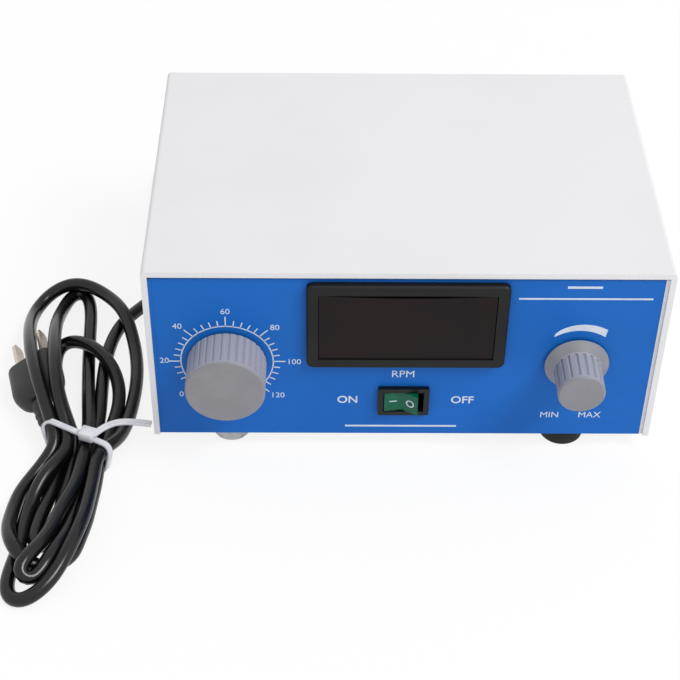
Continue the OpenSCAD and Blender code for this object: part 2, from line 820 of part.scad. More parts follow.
// Glass fuse with metal ends, held by the cap's nose
module fuse_link() {
    color("silver") on_rear(fuse_x, lead_h) translate([0, 0, -1.6 - fuse_link_len]) {
        for (z = [0, fuse_link_len - 5]) translate([0, 0, z]) cylinder(d = fuse_link_d, h = 5);
        translate([0, 0, 4]) cylinder(d = fuse_link_d - 0.6, h = fuse_link_len - 8);
    }
}

// Shell of the round socket for the motor's lead
module motor_socket() {
    color("silver") on_rear(socket_x, socket_h) difference() {
        union() {
            cylinder(d = socket_flange_d, h = socket_flange_t);
            translate([0, 0, -socket_back]) cylinder(d = socket_d, h = socket_back + socket_len);
        }
        translate([0, 0, -socket_back - 1]) cylinder(d = insert_d, h = socket_back + socket_len + 2);
        translate([insert_d / 2 - 1, -1, socket_len - 4]) cube([1.8, 2, 5]);
    }
}

module socket_insert() {
    color("black") on_rear(socket_x, socket_h) difference() {
        translate([0, 0, -socket_back]) cylinder(d = insert_d - 0.1, h = socket_back + socket_len - 1);
        for (i = [0 : pin_count - 1]) rotate([0, 0, 45 + i * 360 / pin_count])
            translate([pin_ring_r, 0, -1]) cylinder(d = pin_hole_d, h = socket_len + 1, $fn = 24);
    }
}

module socket_nut() {
    color("silver") on_rear(socket_x, socket_h) translate([0, 0, -sheet_t - 2.4])
        hex_nut(socket_d + 3.4, 2.4, socket_d + 0.1);
}

// Moulded bushing that grips the cord, with a ringed, tapered tail
module strain_relief() {
    rings = 7;
    tail = relief_len - relief_flange_t;
    pitch = tail / (rings + 0.5);
    function tail_r(z) = (relief_root_d + (relief_tip_d - relief_root_d) * z / tail) / 2;
    color("black") on_rear(lead_x, lead_h) {
        translate([0, 0, -sheet_t - 5]) cylinder(d = relief_hole_d, h = sheet_t + 5);
        translate([0, 0, -sheet_t - 5]) cylinder(d = relief_hole_d + 1.6, h = 4.8);
        cylinder(d = relief_flange_d, h = relief_flange_t);
        translate([0, 0, relief_flange_t]) rotate_extrude() polygon(concat(
            [[0, 0]],
            [for (i = [0 : rings - 1], s = [[0, 0], [0.55, 0], [0.55, -0.7], [1, -0.7]])
                [tail_r((i + s[0]) * pitch) + s[1], (i + s[0]) * pitch]],
            [[tail_r(rings * pitch), rings * pitch], [relief_tip_d / 2, tail], [0, tail]]
        ));
    }
}

module foot_bore() {
    translate([0, 0, -1]) cylinder(d = screw_d + 2 * fit_gap, h = foot_h + 2);
    translate([0, 0, -1]) cylinder(d = foot_recess_d, h = foot_recess_h + 1);
}

module rubber_feet() {
    color([0.12, 0.12, 0.13]) for (p = foot_places) translate([p[0], p[1], 0]) difference() {
        rotate_extrude() polygon([
            [0, 0], [foot_d / 2 - 1.6, 0], [foot_d / 2 - 1, 0.6], [foot_d / 2, foot_h], [0, foot_h],
        ]);
        foot_bore();
    }
}

// Bright steel glide under the front left corner
module steel_foot() {
    r = foot_d / 2;
    color("silver") translate([steel_foot_place[0], steel_foot_place[1], 0]) difference() {
        rotate_extrude() polygon(concat(
            [[0, 0]],
            [for (a = [0 : 15 : 90]) [r - 2.5 + 2.5 * sin(a), 2.5 - 2.5 * cos(a)]],
            [[r, foot_h], [0, foot_h]]
        ));
        foot_bore();
    }
}

module foot_screws() {
    color("silver") for (p = concat(foot_places, [steel_foot_place]))
        translate([p[0], p[1], foot_recess_h]) {
            round_screw(screw_d, screw_head_d, screw_head_t, foot_h - foot_recess_h + sheet_t + 4.5);
            translate([0, 0, floor_z - foot_recess_h]) hex_nut(7, 3.2, screw_d);
        }
}

// Smooth curve through the route's points, one ring at each point and one between
function blend(a, b, c, d, t) = 0.5 * (2 * b + (c - a) * t + (2 * a - 5 * b + 4 * c - d) * t * t
    + (3 * b - a - 3 * c + d) * t * t * t);
function curve(p, n) = let (last = len(p) - 1) concat(
    [for (i = [0 : last - 1], j = [0 : n - 1])
        blend(p[max(i - 1, 0)], p[i], p[i + 1], p[min(i + 2, last)], j / n)],
    [p[last]]
);
function along(c, i) = let (d = c[min(i + 1, len(c) - 1)] - c[max(i - 1, 0)]) d / norm(d);

// Round tube swept along a curve
module tube(c, d) {
    n = CORD_SIDES;
    rings = [for (i = [0 : len(c) - 1])
        let (t = along(c, i), side = cross(t, [0, 0, 1]), u = side / norm(side), v = cross(u, t))
        for (k = [0 : n - 1]) c[i] + (u * cos(360 * k / n) + v * sin(360 * k / n)) * d / 2];
    last = (len(c) - 1) * n;
    polyhedron(rings, concat(
        [[for (k = [0 : n - 1]) k]],
        [for (i = [0 : len(c) - 2], k = [0 : n - 1], upper = [0, 1])
            let (a = i * n + k, b = i * n + (k + 1) % n)
            upper == 0 ? [a, a + n, b + n] : [a, b + n, b]],
        [[for (k = [n - 1 : -1 : 0]) last + k]]
    ));
}

module mains_cord() {
    color([0.15, 0.15, 0.16]) tube(curve(CORD_ROUTE, 1), cord_d);
}

// Outer shape of the folded and tied cord
module cord_hank() {
    color([0.15, 0.15, 0.16]) linear_extrude(hank_h) {
        hull() {
            translate(HANK_TOP) circle(hank_top_r, $fn = HULL_FN);
            translate(HANK_WAIST) circle(hank_waist_r, $fn = HULL_FN);
        }
        hull() {
            translate(HANK_WAIST) circle(hank_waist_r, $fn = HULL_FN);
            translate(HANK_BELLY) circle(hank_belly_r, $fn = HULL_FN);
            translate(HANK_TIP) circle(hank_tip_r, $fn = HULL_FN);
        }
    }
}

// Nylon tie around the hank, with its head and the free end of the strap
module cable_tie() {
    w = 2 * hank_waist_r + 2 * tie_t;
    h = hank_h + 2 * tie_t;
    r = 5;
    color("white") translate([HANK_WAIST[0], HANK_WAIST[1], 0]) {
        rotate([0, 0, tie_turn]) translate([0, tie_w / 2, h / 2]) rotate([90, 0, 0])
            linear_extrude(tie_w) difference() {
                round_rect(w, h, r);
                round_rect(w - 2 * tie_t, h - 2 * tie_t, r - tie_t);
            }
        rotate([0, 0, tie_turn]) translate([0, -tie_head[1] / 2, h - 0.5]) cube(tie_head);
        translate([tie_head[0] - 1, -tie_w / 2 - 1, h + 1.6]) cube([tie_tail, tie_w, tie_t]);
    }
}

// Sets a piece on the plug's face: its own Z points along the blades, its X from the lower
// blade to the upper one. The plug leans on the cord with its upper end.
module on_plug() {
    translate([PLUG_AT[0], PLUG_AT[1], plug_z]) rotate([0, 0, plug_turn])
        rotate([0, -plug_lean, 0]) rotate([-90, 0, 0]) children();
}

// Moulded plug, rounded towards its back
module plug_body() {
    w = blade_gap + plug_t;
    color([0.16, 0.16, 0.17]) on_plug() translate([blade_gap / 2, 0, -plug_depth]) hull() {
        translate([0, 0, plug_back]) linear_extrude(plug_depth - plug_back)
            round_rect(w, plug_t, plug_r, $fn = HULL_FN);
        for (a = [0 : 30 : 60]) {
            inset = plug_taper * (1 - sin(a));
            translate([0, 0, plug_back * (1 - cos(a))]) linear_extrude(0.1)
                round_rect(w - 2 * inset, plug_t - inset, plug_r - inset / 2, $fn = HULL_FN);
        }
    }
}

// Two flat blades with cut corners
module plug_pins() {
    color("silver") on_plug() for (x = [0, blade_gap])
        translate([x + blade_size[0] / 2, 0, 0]) rotate([0, -90, 0]) linear_extrude(blade_size[0])
            polygon([
                [0, -blade_size[1] / 2], [blade_size[2] - blade_tip, -blade_size[1] / 2],
                [blade_size[2], blade_tip - blade_size[1] / 2],
                [blade_size[2], blade_size[1] / 2 - blade_tip],
                [blade_size[2] - blade_tip, blade_size[1] / 2], [0, blade_size[1] / 2],
            ]);
}

cover();
tray();
front_label();
cover_screws();
display_bezel();
display_window();
display_board();
display_digits();
timer_movement();
timer_nut();
timer_spindle();
timer_knob();
speed_pot();
pot_washer();
pot_nut();
pot_spindle();
speed_knob();
switch_housing();
switch_rocker();
switch_terminals();
control_board();
board_standoffs();
board_screws();
transformer();
heat_sink();
triac();
capacitors();
terminal_block();
fuse_holder();
fuse_nut();
fuse_cap();
fuse_link();
motor_socket();
socket_insert();
socket_nut();
strain_relief();
rubber_feet();
steel_foot();
foot_screws();
mains_cord();
cord_hank();
cable_tie();
plug_body();
plug_pins();
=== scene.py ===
import math

import bmesh
import bpy
import numpy as np
from mathutils import Matrix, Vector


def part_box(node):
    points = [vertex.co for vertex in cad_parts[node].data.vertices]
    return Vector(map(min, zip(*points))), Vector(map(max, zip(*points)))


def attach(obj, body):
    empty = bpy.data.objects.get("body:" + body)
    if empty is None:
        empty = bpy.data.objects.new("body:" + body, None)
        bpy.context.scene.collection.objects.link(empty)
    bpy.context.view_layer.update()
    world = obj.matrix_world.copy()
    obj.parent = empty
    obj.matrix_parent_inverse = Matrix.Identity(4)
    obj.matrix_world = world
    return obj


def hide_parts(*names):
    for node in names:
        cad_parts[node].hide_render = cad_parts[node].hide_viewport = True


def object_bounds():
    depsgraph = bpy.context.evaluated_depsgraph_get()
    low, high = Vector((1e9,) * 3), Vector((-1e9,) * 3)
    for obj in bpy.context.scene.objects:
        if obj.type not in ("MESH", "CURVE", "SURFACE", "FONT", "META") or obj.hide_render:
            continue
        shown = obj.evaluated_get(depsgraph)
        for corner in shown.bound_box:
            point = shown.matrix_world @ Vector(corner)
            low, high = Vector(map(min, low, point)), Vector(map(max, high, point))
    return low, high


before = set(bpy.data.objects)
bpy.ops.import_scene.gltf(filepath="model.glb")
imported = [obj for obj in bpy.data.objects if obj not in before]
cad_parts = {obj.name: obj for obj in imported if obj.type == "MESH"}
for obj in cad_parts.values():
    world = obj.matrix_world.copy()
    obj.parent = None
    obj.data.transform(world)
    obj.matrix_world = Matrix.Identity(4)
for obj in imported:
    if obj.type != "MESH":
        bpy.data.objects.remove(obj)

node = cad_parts
cad_box = [list(corner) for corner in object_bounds()]
MM = 0.001
TINY = 1e-9


# ---------------------------------------------------------------- Cover and tray
# Both are folded from 1.2 mm sheet steel and powder coated grey-white. The coat has a faint
# orange peel, is a little duller in patches, and is chipped in a few spots on its edges.

def chart(red, green, blue):
    """Linear values of a colour that a paint chart gives from 0 to 255."""
    part = np.array([red, green, blue]) / 255
    linear = np.where(part <= 0.04045, part / 12.92, ((part + 0.055) / 1.055) ** 2.4)
    return tuple(float(v) for v in linear) + (1.0,)


def put(tree, kind, inputs=None, **options):
    """Adds a shader node and fills its inputs, each with a value or another node's output."""
    made = tree.nodes.new("ShaderNode" + kind)
    for name, value in options.items():
        setattr(made, name, value)
    for name, value in (inputs or {}).items():
        if isinstance(value, bpy.types.NodeSocket):
            tree.links.new(value, made.inputs[name])
        else:
            made.inputs[name].default_value = value
    return made


def maths(tree, operation, *values, clamp=False):
    """One step of arithmetic."""
    return put(
        tree, "Math", dict(enumerate(values)), operation=operation, use_clamp=clamp).outputs[0]


def blend_colours(tree, share, first, second):
    """First colour at a share of 0, second at 1."""
    return put(tree, "Mix", {0: share, 6: first, 7: second}, data_type="RGBA").outputs[2]


def ramp(tree, value, low, high):
    """0 below low, 1 above high, and smooth between them."""
    return put(
        tree, "MapRange", {"Value": value, "From Min": low, "From Max": high},
        interpolation_type="SMOOTHSTEP").outputs[0]


def noise(tree, place, scale, detail=2.0):
    """Soft random field; its middle is 0.5."""
    return put(tree, "TexNoise", {"Vector": place, "Scale": scale, "Detail": detail}).outputs[0]


def new_group(name, takes, gives):
    """Starts a shader node group whose sockets are named in takes and gives."""
    group = bpy.data.node_groups.new(name, "ShaderNodeTree")
    for way, sockets in (("INPUT", takes), ("OUTPUT", gives)):
        for label, kind in sockets.items():
            group.interface.new_socket(label, in_out=way, socket_type="NodeSocket" + kind)
    given = group.nodes.new("NodeGroupInput").outputs
    return group, given, group.nodes.new("NodeGroupOutput").inputs


PATCH_EDGES = 0.38, 0.62
PATCH_GLOSS = 0.6
CHIP_SPOTS, CHIP_SOFTNESS = 260.0, 0.03
SCUFF_FIELD, SCUFF_SOFTNESS = 0.37, 0.05


def make_grain_group():
    """Two tones drift into each other in soft patches, a fine grain stands up from the
    surface, and both shift the gloss a little."""
    group, given, out = new_group(
        "surface_grain",
        {"Place": "Vector", "Colour": "Color", "Second colour": "Color", "Patches": "Float",
         "Grain": "Float", "Depth": "Float", "Roughness": "Float", "Spread": "Float"},
        {"Colour": "Color", "Roughness": "Float", "Normal": "Vector"})
    patch = ramp(group, noise(group, given["Place"], given["Patches"], 3.0), *PATCH_EDGES)
    grain = noise(group, given["Place"], given["Grain"])
    group.links.new(
        blend_colours(group, patch, given["Colour"], given["Second colour"]), out["Colour"])
    uneven = maths(group, "ADD", maths(group, "MULTIPLY", patch, PATCH_GLOSS), grain)
    middle = (PATCH_GLOSS + 1) / 2
    shift = maths(group, "MULTIPLY_ADD", maths(group, "SUBTRACT", uneven, middle),
                  given["Spread"], given["Roughness"])
    group.links.new(shift, out["Roughness"])
    bump = put(group, "Bump", {"Strength": 1.0, "Distance": given["Depth"], "Height": grain})
    group.links.new(bump.outputs[0], out["Normal"])
    return group


def make_scuff_group():
    """Hairline scuffs: a field's middle line is thin and winding, and shows only where a
    second, wider field is high."""
    group, given, out = new_group(
        "hairline_scuffs",
        {"Place": "Vector", "Colour": "Color", "Scuff colour": "Color", "Size": "Float",
         "Width": "Float", "Rarity": "Float"},
        {"Colour": "Color", "Mask": "Float"})
    field = noise(group, given["Place"], given["Size"], 1.0)
    away = maths(group, "ABSOLUTE", maths(group, "SUBTRACT", field, 0.5))
    line = maths(group, "SUBTRACT", 1.0, ramp(group, away, 0.0, given["Width"]))
    wide = noise(group, given["Place"], maths(group, "MULTIPLY", given["Size"], SCUFF_FIELD))
    where = ramp(
        group, wide, given["Rarity"], maths(group, "ADD", given["Rarity"], SCUFF_SOFTNESS))
    mask = maths(group, "MULTIPLY", line, where)
    group.links.new(mask, out["Mask"])
    group.links.new(
        blend_colours(group, mask, given["Colour"], given["Scuff colour"]), out["Colour"])
    return group


def make_edge_group():
    """Wear on the edges of a box: a point is near an edge when the second smallest of its
    distances to the box's three pairs of faces is small, and a blotchy field picks spots."""
    group, given, out = new_group(
        "edge_chips",
        {"Place": "Vector", "Colour": "Color", "Bare colour": "Color", "Middle": "Vector",
         "Half size": "Vector", "Width": "Float", "Rarity": "Float"},
        {"Colour": "Color", "Mask": "Float"})
    from_middle = put(group, "VectorMath", {0: given["Place"], 1: given["Middle"]},
                      operation="SUBTRACT").outputs[0]
    size = put(group, "VectorMath", {0: from_middle}, operation="ABSOLUTE").outputs[0]
    inside = put(group, "VectorMath", {0: given["Half size"], 1: size}, operation="SUBTRACT")
    x, y, z = put(group, "SeparateXYZ", {0: inside.outputs[0]}).outputs
    low = maths(group, "MINIMUM", x, y)
    high = maths(group, "MAXIMUM", x, y)
    second = maths(group, "MAXIMUM", low, maths(group, "MINIMUM", high, z))
    near = maths(group, "SUBTRACT", 1.0, ramp(group, second, 0.0, given["Width"]))
    spots = noise(group, given["Place"], CHIP_SPOTS, 4.0)
    chip = ramp(group, maths(group, "MULTIPLY", near, spots), given["Rarity"],
                maths(group, "ADD", given["Rarity"], CHIP_SOFTNESS))
    group.links.new(chip, out["Mask"])
    group.links.new(
        blend_colours(group, chip, given["Colour"], given["Bare colour"]), out["Colour"])
    return group


GRAIN_GROUP = make_grain_group()
SCUFF_GROUP = make_scuff_group()
EDGE_GROUP = make_edge_group()


def finish(name, colour, second, patches, grain, depth, rough, spread=0.1, scuffs=None,
           edges=None, along=None, fixed=None):
    """Material for one finish. Patches and grain are feature sizes and depth is the grain's
    height, all in metres; scuffs and edges hold further inputs of those groups, along
    stretches the pattern, on the piece's UV map, and fixed sets the shader's own sockets."""
    material = bpy.data.materials.new(name)
    material.use_nodes = True
    tree = material.node_tree
    surface = tree.nodes["Principled BSDF"]
    for label, value in (fixed or {}).items():
        surface.inputs[label].default_value = value
    place = put(tree, "TexCoord").outputs["UV" if along else "Object"]
    if along:
        place = put(tree, "Mapping", {"Vector": place, "Scale": along}).outputs[0]
    grained = put(tree, "Group", {
        "Place": place, "Colour": colour, "Second colour": second, "Patches": 1 / patches,
        "Grain": 1 / grain, "Depth": depth, "Roughness": rough, "Spread": spread,
    }, node_tree=GRAIN_GROUP)
    tone = grained.outputs["Colour"]
    for group, extra in ((EDGE_GROUP, edges), (SCUFF_GROUP, scuffs)):
        if extra:
            inputs = {"Place": place, "Colour": tone, **extra}
            tone = put(tree, "Group", inputs, node_tree=group).outputs["Colour"]
    tree.links.new(tone, surface.inputs["Base Color"])
    tree.links.new(grained.outputs["Roughness"], surface.inputs["Roughness"])
    tree.links.new(grained.outputs["Normal"], surface.inputs["Normal"])
    return material


def dress(material, *names):
    """Gives CAD nodes a finish."""
    for name in names:
        for slot in node[name].material_slots:
            slot.material = material


case_low, case_high = (np.array(corner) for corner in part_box("cover"))
WHITE_PAINT = finish(
    "white_paint", chart(230, 230, 232), chart(228, 228, 230), 60 * MM, 0.9 * MM, 0.010 * MM,
    0.48, spread=0.05,
    edges={"Bare colour": chart(120, 116, 112), "Middle": (case_low + case_high).tolist(),
           "Half size": (case_high - case_low).tolist(), "Width": 1.6 * MM, "Rarity": 0.62},
    scuffs={"Scuff colour": chart(212, 212, 215), "Size": 24.0, "Width": 0.0015, "Rarity": 0.68},
    fixed={"Specular IOR Level": 0.45},
)
dress(WHITE_PAINT, "cover", "tray")


# ---------------------------------------------------------------- Front print
# A blue film covers the tray's front wall, and its scale, words and rules are printed on it
# in white. The ink is laid on as a raised layer a few hundredths of a millimetre thick.

label_low, label_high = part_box("front_label")
LABEL_Y = label_low[1]
INK_T, MERGE_WITHIN = 0.05 * MM, 0.0002 * MM
FILM = finish(
    "front_film", chart(20, 100, 188), chart(23, 104, 193), 45 * MM, 0.35 * MM, 0.004 * MM, 0.42,
    spread=0.06, fixed={"Specular IOR Level": 0.15},
    scuffs={"Scuff colour": chart(40, 104, 184), "Size": 60.0, "Width": 0.002, "Rarity": 0.68},
)
dress(FILM, "front_label")
INK = finish(
    "white_ink", chart(218, 226, 238), chart(206, 216, 231), 6 * MM, 0.2 * MM, 0.003 * MM, 0.5)


def add_mesh(name, points, faces, body, material, smooth=True):
    """Makes a mesh object at the origin, gives it its finish and lets it ride on a body."""
    mesh = bpy.data.meshes.new(name)
    mesh.from_pydata(np.asarray(points, float).tolist(), [], faces)
    mesh.polygons.foreach_set("use_smooth", np.full(len(mesh.polygons), smooth))
    mesh.update()
    mesh.materials.append(material)
    piece = bpy.data.objects.new(name, mesh)
    bpy.context.scene.collection.objects.link(piece)
    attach(piece, body)
    return piece


def close_up(piece):
    """Merges a piece's doubled points and turns its faces outwards."""
    shape = bmesh.new()
    shape.from_mesh(piece.data)
    bmesh.ops.remove_doubles(shape, verts=shape.verts, dist=MERGE_WITHIN)
    bmesh.ops.recalc_face_normals(shape, faces=shape.faces)
    shape.to_mesh(piece.data)
    shape.free()
    return piece


def face_grid(rings, sides, loop):
    """For each face between successive rings of points, the ring and the side it starts at."""
    return np.meshgrid(np.arange(rings - (not loop)), np.arange(sides), indexing="ij")


def ring_faces(rings, sides, loop=False):
    """Faces between successive rings of points; the ends are capped, or the last ring meets
    the first."""
    i, k = face_grid(rings, sides, loop)
    a, b = i * sides + k, i * sides + (k + 1) % sides
    c, d = (i + 1) % rings * sides + (k + 1) % sides, (i + 1) % rings * sides + k
    faces = np.stack([a, b, c, d], -1).reshape(-1, 4).tolist()
    if not loop:
        faces.append(list(range(sides))[::-1])
        faces.append(list(range((rings - 1) * sides, rings * sides)))
    return faces


def strip(near, far, loop=False):
    """Band of ink between two lines of as many points, as points (x, z, height) and faces."""
    near, far = np.asarray(near, float), np.asarray(far, float)
    count = len(near)
    rim = np.stack([near, far, far, near], 1)
    height = np.broadcast_to(np.array([INK_T, INK_T, 0, 0])[:, None], (count, 4, 1))
    return np.concatenate([rim, height], 2).reshape(-1, 3), ring_faces(count, 4, loop)


def arc(centre, radius, start, end, count):
    """Points on an arc; angles run clockwise from straight up, in degrees."""
    angle = np.radians(np.linspace(start, end, count))
    way = np.stack([np.sin(angle), np.cos(angle)], 1)
    return np.asarray(centre) + way * np.reshape(radius, (-1, 1))


def bar(centre, length, width, turn=90.0):
    """Straight rule. Its turn is the way it points, clockwise from straight up."""
    way = np.array([math.sin(math.radians(turn)), math.cos(math.radians(turn))])
    ends = np.asarray(centre) + np.outer([-length / 2, length / 2], way)
    aside = np.array([way[1], -way[0]]) * width / 2
    return strip(ends - aside, ends + aside)


def letters(word, centre, height, weight=0.0):
    """A word in plain upright letters, centred, as points (x, z, height) and faces."""
    curve = bpy.data.curves.new("letters", "FONT")
    curve.body = word
    curve.extrude = 0.01
    curve.offset = weight
    curve.resolution_u = 4
    holder = bpy.data.objects.new("letters", curve)
    bpy.context.scene.collection.objects.link(holder)
    bpy.context.view_layer.update()
    solid = bpy.data.meshes.new_from_object(
        holder.evaluated_get(bpy.context.evaluated_depsgraph_get()))
    points = np.zeros(len(solid.vertices) * 3)
    solid.vertices.foreach_get("co", points)
    points = points.reshape(-1, 3)
    faces = [list(face.vertices) for face in solid.polygons]
    bpy.data.objects.remove(holder)
    bpy.data.curves.remove(curve)
    bpy.data.meshes.remove(solid)
    low, high = points.min(0), points.max(0)
    scale = height / (high[1] - low[1])
    points[:, :2] = (points[:, :2] - (low + high)[:2] / 2) * scale
    points[:, :2] += centre
    points[:, 2] = (points[:, 2] - low[2]) / (high[2] - low[2]) * INK_T
    return points, faces


def on_panel(points):
    """Puts print on the film: its x and z stay, and its height stands out to the front."""
    return np.stack([points[:, 0], LABEL_Y - points[:, 2], points[:, 1]], 1)


def print_piece(name, parts, place=on_panel, body="case", ink=INK):
    """Joins parts of print in one piece."""
    points, faces, count = [], [], 0
    for part_points, part_faces in parts:
        points.append(part_points)
        faces += [[k + count for k in face] for face in part_faces]
        count += len(part_points)
    return close_up(add_mesh(name, place(np.vstack(points)), faces, body, ink, smooth=False))


# the tray's front wall reaches the cover's hem on both sides, and the film does at the left
LIP_X = case_high[0] - 2.45 * MM
LIP_BACK, LIP_T = 0.08 * MM, 0.45 * MM
FILM_OVERLAP = 0.05 * MM


def panel_lip(name, near_x, far_x, back, material):
    """Upright strip of the front wall between two x's, as high as the film."""
    low_z, high_z = label_low[2], label_high[2]
    points, faces = strip([(near_x, low_z), (near_x, high_z)], [(far_x, low_z), (far_x, high_z)])
    points[:, 2] = np.where(points[:, 2] > 0, -back, -LIP_T)
    return close_up(add_mesh(name, on_panel(points), faces, "case", material, smooth=False))


for side, word in ((-1, "left"), (1, "right")):
    panel_lip("tray_lip_" + word, side * label_high[0], side * LIP_X, LIP_BACK, WHITE_PAINT)
panel_lip("film_edge", label_low[0] + FILM_OVERLAP, -LIP_X, 0, FILM)

TIMER_AXIS = np.array([-71, 48.5]) * MM
DIAL_R = 18.4 * MM
LONG_TICK, SHORT_TICK = 4.9 * MM, 2.9 * MM
TICK_W = 0.5 * MM
DIAL_TURN = 270
DIVISIONS, LONG_EVERY = 30, 5
ARC_POINTS = 91
turns = np.linspace(-DIAL_TURN / 2, DIAL_TURN / 2, DIVISIONS + 1)
scale_parts = [strip(*(
    arc(TIMER_AXIS, DIAL_R + out, -DIAL_TURN / 2, DIAL_TURN / 2, ARC_POINTS)
    for out in (-TICK_W / 2, TICK_W / 2)))]
for count, turn in enumerate(turns):
    tick = LONG_TICK if count % LONG_EVERY == 0 else SHORT_TICK
    middle = arc(TIMER_AXIS, DIAL_R + tick / 2, turn, turn, 1)[0]
    scale_parts.append(bar(middle, tick, TICK_W, turn))
print_piece("dial_scale", scale_parts)

NUMBER_H, NUMBER_STEP = 2.7 * MM, 20
number_places = [(-90.1, 30.6), (-96.0, 48.9), (-90.0, 66.9), (-70.9, 74.5), (-51.7, 66.4),
                 (-44.0, 48.4), (-50.8, 30.2)]
print_piece("dial_numbers", [
    letters(str(NUMBER_STEP * count), np.array(at) * MM, NUMBER_H)
    for count, at in enumerate(number_places)])

WORD_H, WORD_WEIGHT = 3.9 * MM, 0.012
print_piece("switch_words", [
    letters("ON", np.array([-22.8, 27.8]) * MM, WORD_H, WORD_WEIGHT),
    letters("OFF", np.array([24.1, 27.8]) * MM, WORD_H, WORD_WEIGHT)])

SPEED_AXIS = np.array([68.5, 48.5]) * MM
WEDGE_R, WEDGE_T, WEDGE_TIP_T = 16.8 * MM, 3.4 * MM, 0.04 * MM
WEDGE_START, WEDGE_END, WEDGE_OUTER_END = -36.7, 36.5, 32
WEDGE_POINTS = 40
share = np.linspace(0, 1, WEDGE_POINTS)
wedge_outer = WEDGE_R + WEDGE_TIP_T + WEDGE_T * np.sqrt(1 - (1 - share) ** 2)
print_piece("speed_wedge", [strip(
    arc(SPEED_AXIS, WEDGE_R, WEDGE_START, WEDGE_END, WEDGE_POINTS),
    arc(SPEED_AXIS, wedge_outer, WEDGE_START, WEDGE_OUTER_END, WEDGE_POINTS))])

METER_CAPTION_H, CAPTION_H = 3.5 * MM, 3.0 * MM
print_piece("captions", [
    letters("RPM", np.array([-0.5, 42.0]) * MM, METER_CAPTION_H),
    letters("MIN", np.array([60.4, 19.6]) * MM, CAPTION_H),
    letters("MAX", np.array([77.0, 19.6]) * MM, CAPTION_H)])
print_piece("plain_rules", [
    bar(np.array([67.9, 87.2]) * MM, 13.5 * MM, 1.1 * MM),
    bar(np.array([68.8, 81.5]) * MM, 52 * MM, 0.8 * MM),
    bar(np.array([-0.6, 12.9]) * MM, 46 * MM, 0.9 * MM)])


# ---------------------------------------------------------------- Speed display
# A panel meter: black moulded bezel with a dark red filter pushed in from the front, and a
# four-digit display on its own board behind it.

BLACK_GRAIN = dict(patches=18 * MM, grain=0.25 * MM, depth=0.012 * MM)
dress(finish(
    "bezel_black", chart(19, 19, 21), chart(16, 16, 18), rough=0.48, spread=0.1,
    scuffs={"Scuff colour": chart(60, 60, 64), "Size": 70.0, "Width": 0.003, "Rarity": 0.68},
    fixed={"Specular IOR Level": 0.25}, **BLACK_GRAIN), "display_bezel")
dress(finish(
    "window_red", chart(27, 12, 15), chart(22, 10, 12), 30 * MM, 3 * MM, 0.002 * MM, 0.4,
    spread=0.06,
    scuffs={"Scuff colour": chart(96, 88, 90), "Size": 130.0, "Width": 0.006, "Rarity": 0.7},
    fixed={"Specular IOR Level": 0.16}), "display_window")
dress(finish(
    "digit_black", chart(34, 34, 36), chart(28, 28, 30), 10 * MM, 0.3 * MM, 0.01 * MM, 0.6),
    "display_digits", "triac")
dress(finish(
    "board_green", chart(28, 108, 66), chart(20, 92, 56), 9 * MM, 0.6 * MM, 0.02 * MM, 0.35,
    scuffs={"Scuff colour": chart(70, 150, 96), "Size": 120.0, "Width": 0.03, "Rarity": 0.4}),
    "display_board", "control_board")


# ---------------------------------------------------------------- Timer and speed control
# Each knob is a fluted cup moulded in grey plastic and pushed on a flatted spindle; the
# timer's movement and the potentiometer are held in the panel by their own plated nuts.

ZINC = finish(
    "zinc", chart(206, 208, 212), chart(186, 189, 194), 7 * MM, 0.3 * MM, 0.006 * MM, 0.3,
    spread=0.16, fixed={"Metallic": 1.0})
dress(ZINC, "timer_movement", "timer_nut", "timer_spindle", "pot_washer", "pot_nut",
      "pot_spindle", "cover_screws", "board_screws", "foot_screws")
dress(finish(
    "pot_metal", chart(196, 190, 172), chart(182, 172, 146), 8 * MM, 0.4 * MM, 0.006 * MM, 0.34,
    spread=0.16, fixed={"Metallic": 1.0}), "speed_pot")


FLAT_END = 0.3, 0.7


def make_flute_group():
    """Paints a highlight on the ridges of a knob and shade in its flutes. Both are what doesn't
    face along its axis, which runs along Y, as its flat end does; a flute is nearer to it than the
    rim."""
    group, given, out = new_group(
        "flute_painted_shade_and_highlight",
        {"Place": "Vector", "Facing": "Vector", "Colour": "Color", "Painted ridge highlight": "Color",
         "Painted flute shade": "Color", "Axis": "Vector", "Rim": "Float", "Depth": "Float"},
        {"Colour": "Color"})
    off_axis = put(group, "VectorMath", {0: given["Place"], 1: given["Axis"]},
                   operation="SUBTRACT").outputs[0]
    flat = put(group, "VectorMath", {0: off_axis, 1: (1, 0, 1)}, operation="MULTIPLY").outputs[0]
    radius = put(group, "VectorMath", {0: flat}, operation="LENGTH").outputs["Value"]
    bottom = maths(group, "SUBTRACT", given["Rim"], given["Depth"])
    deep = maths(group, "SUBTRACT", 1.0, ramp(group, radius, bottom, given["Rim"]))
    faces = put(group, "SeparateXYZ", {0: given["Facing"]}).outputs["Y"]
    ahead = maths(group, "ABSOLUTE", faces)
    side = maths(group, "SUBTRACT", 1.0, ramp(group, ahead, *FLAT_END))
    # the knob's sides get a painted highlight, and painted shade where they sink into a flute
    with_ridge_highlight = blend_colours(group, side, given["Colour"], given["Painted ridge highlight"])
    group.links.new(blend_colours(
        group, maths(group, "MULTIPLY", deep, side), with_ridge_highlight, given["Painted flute shade"]),
        out["Colour"])
    return group


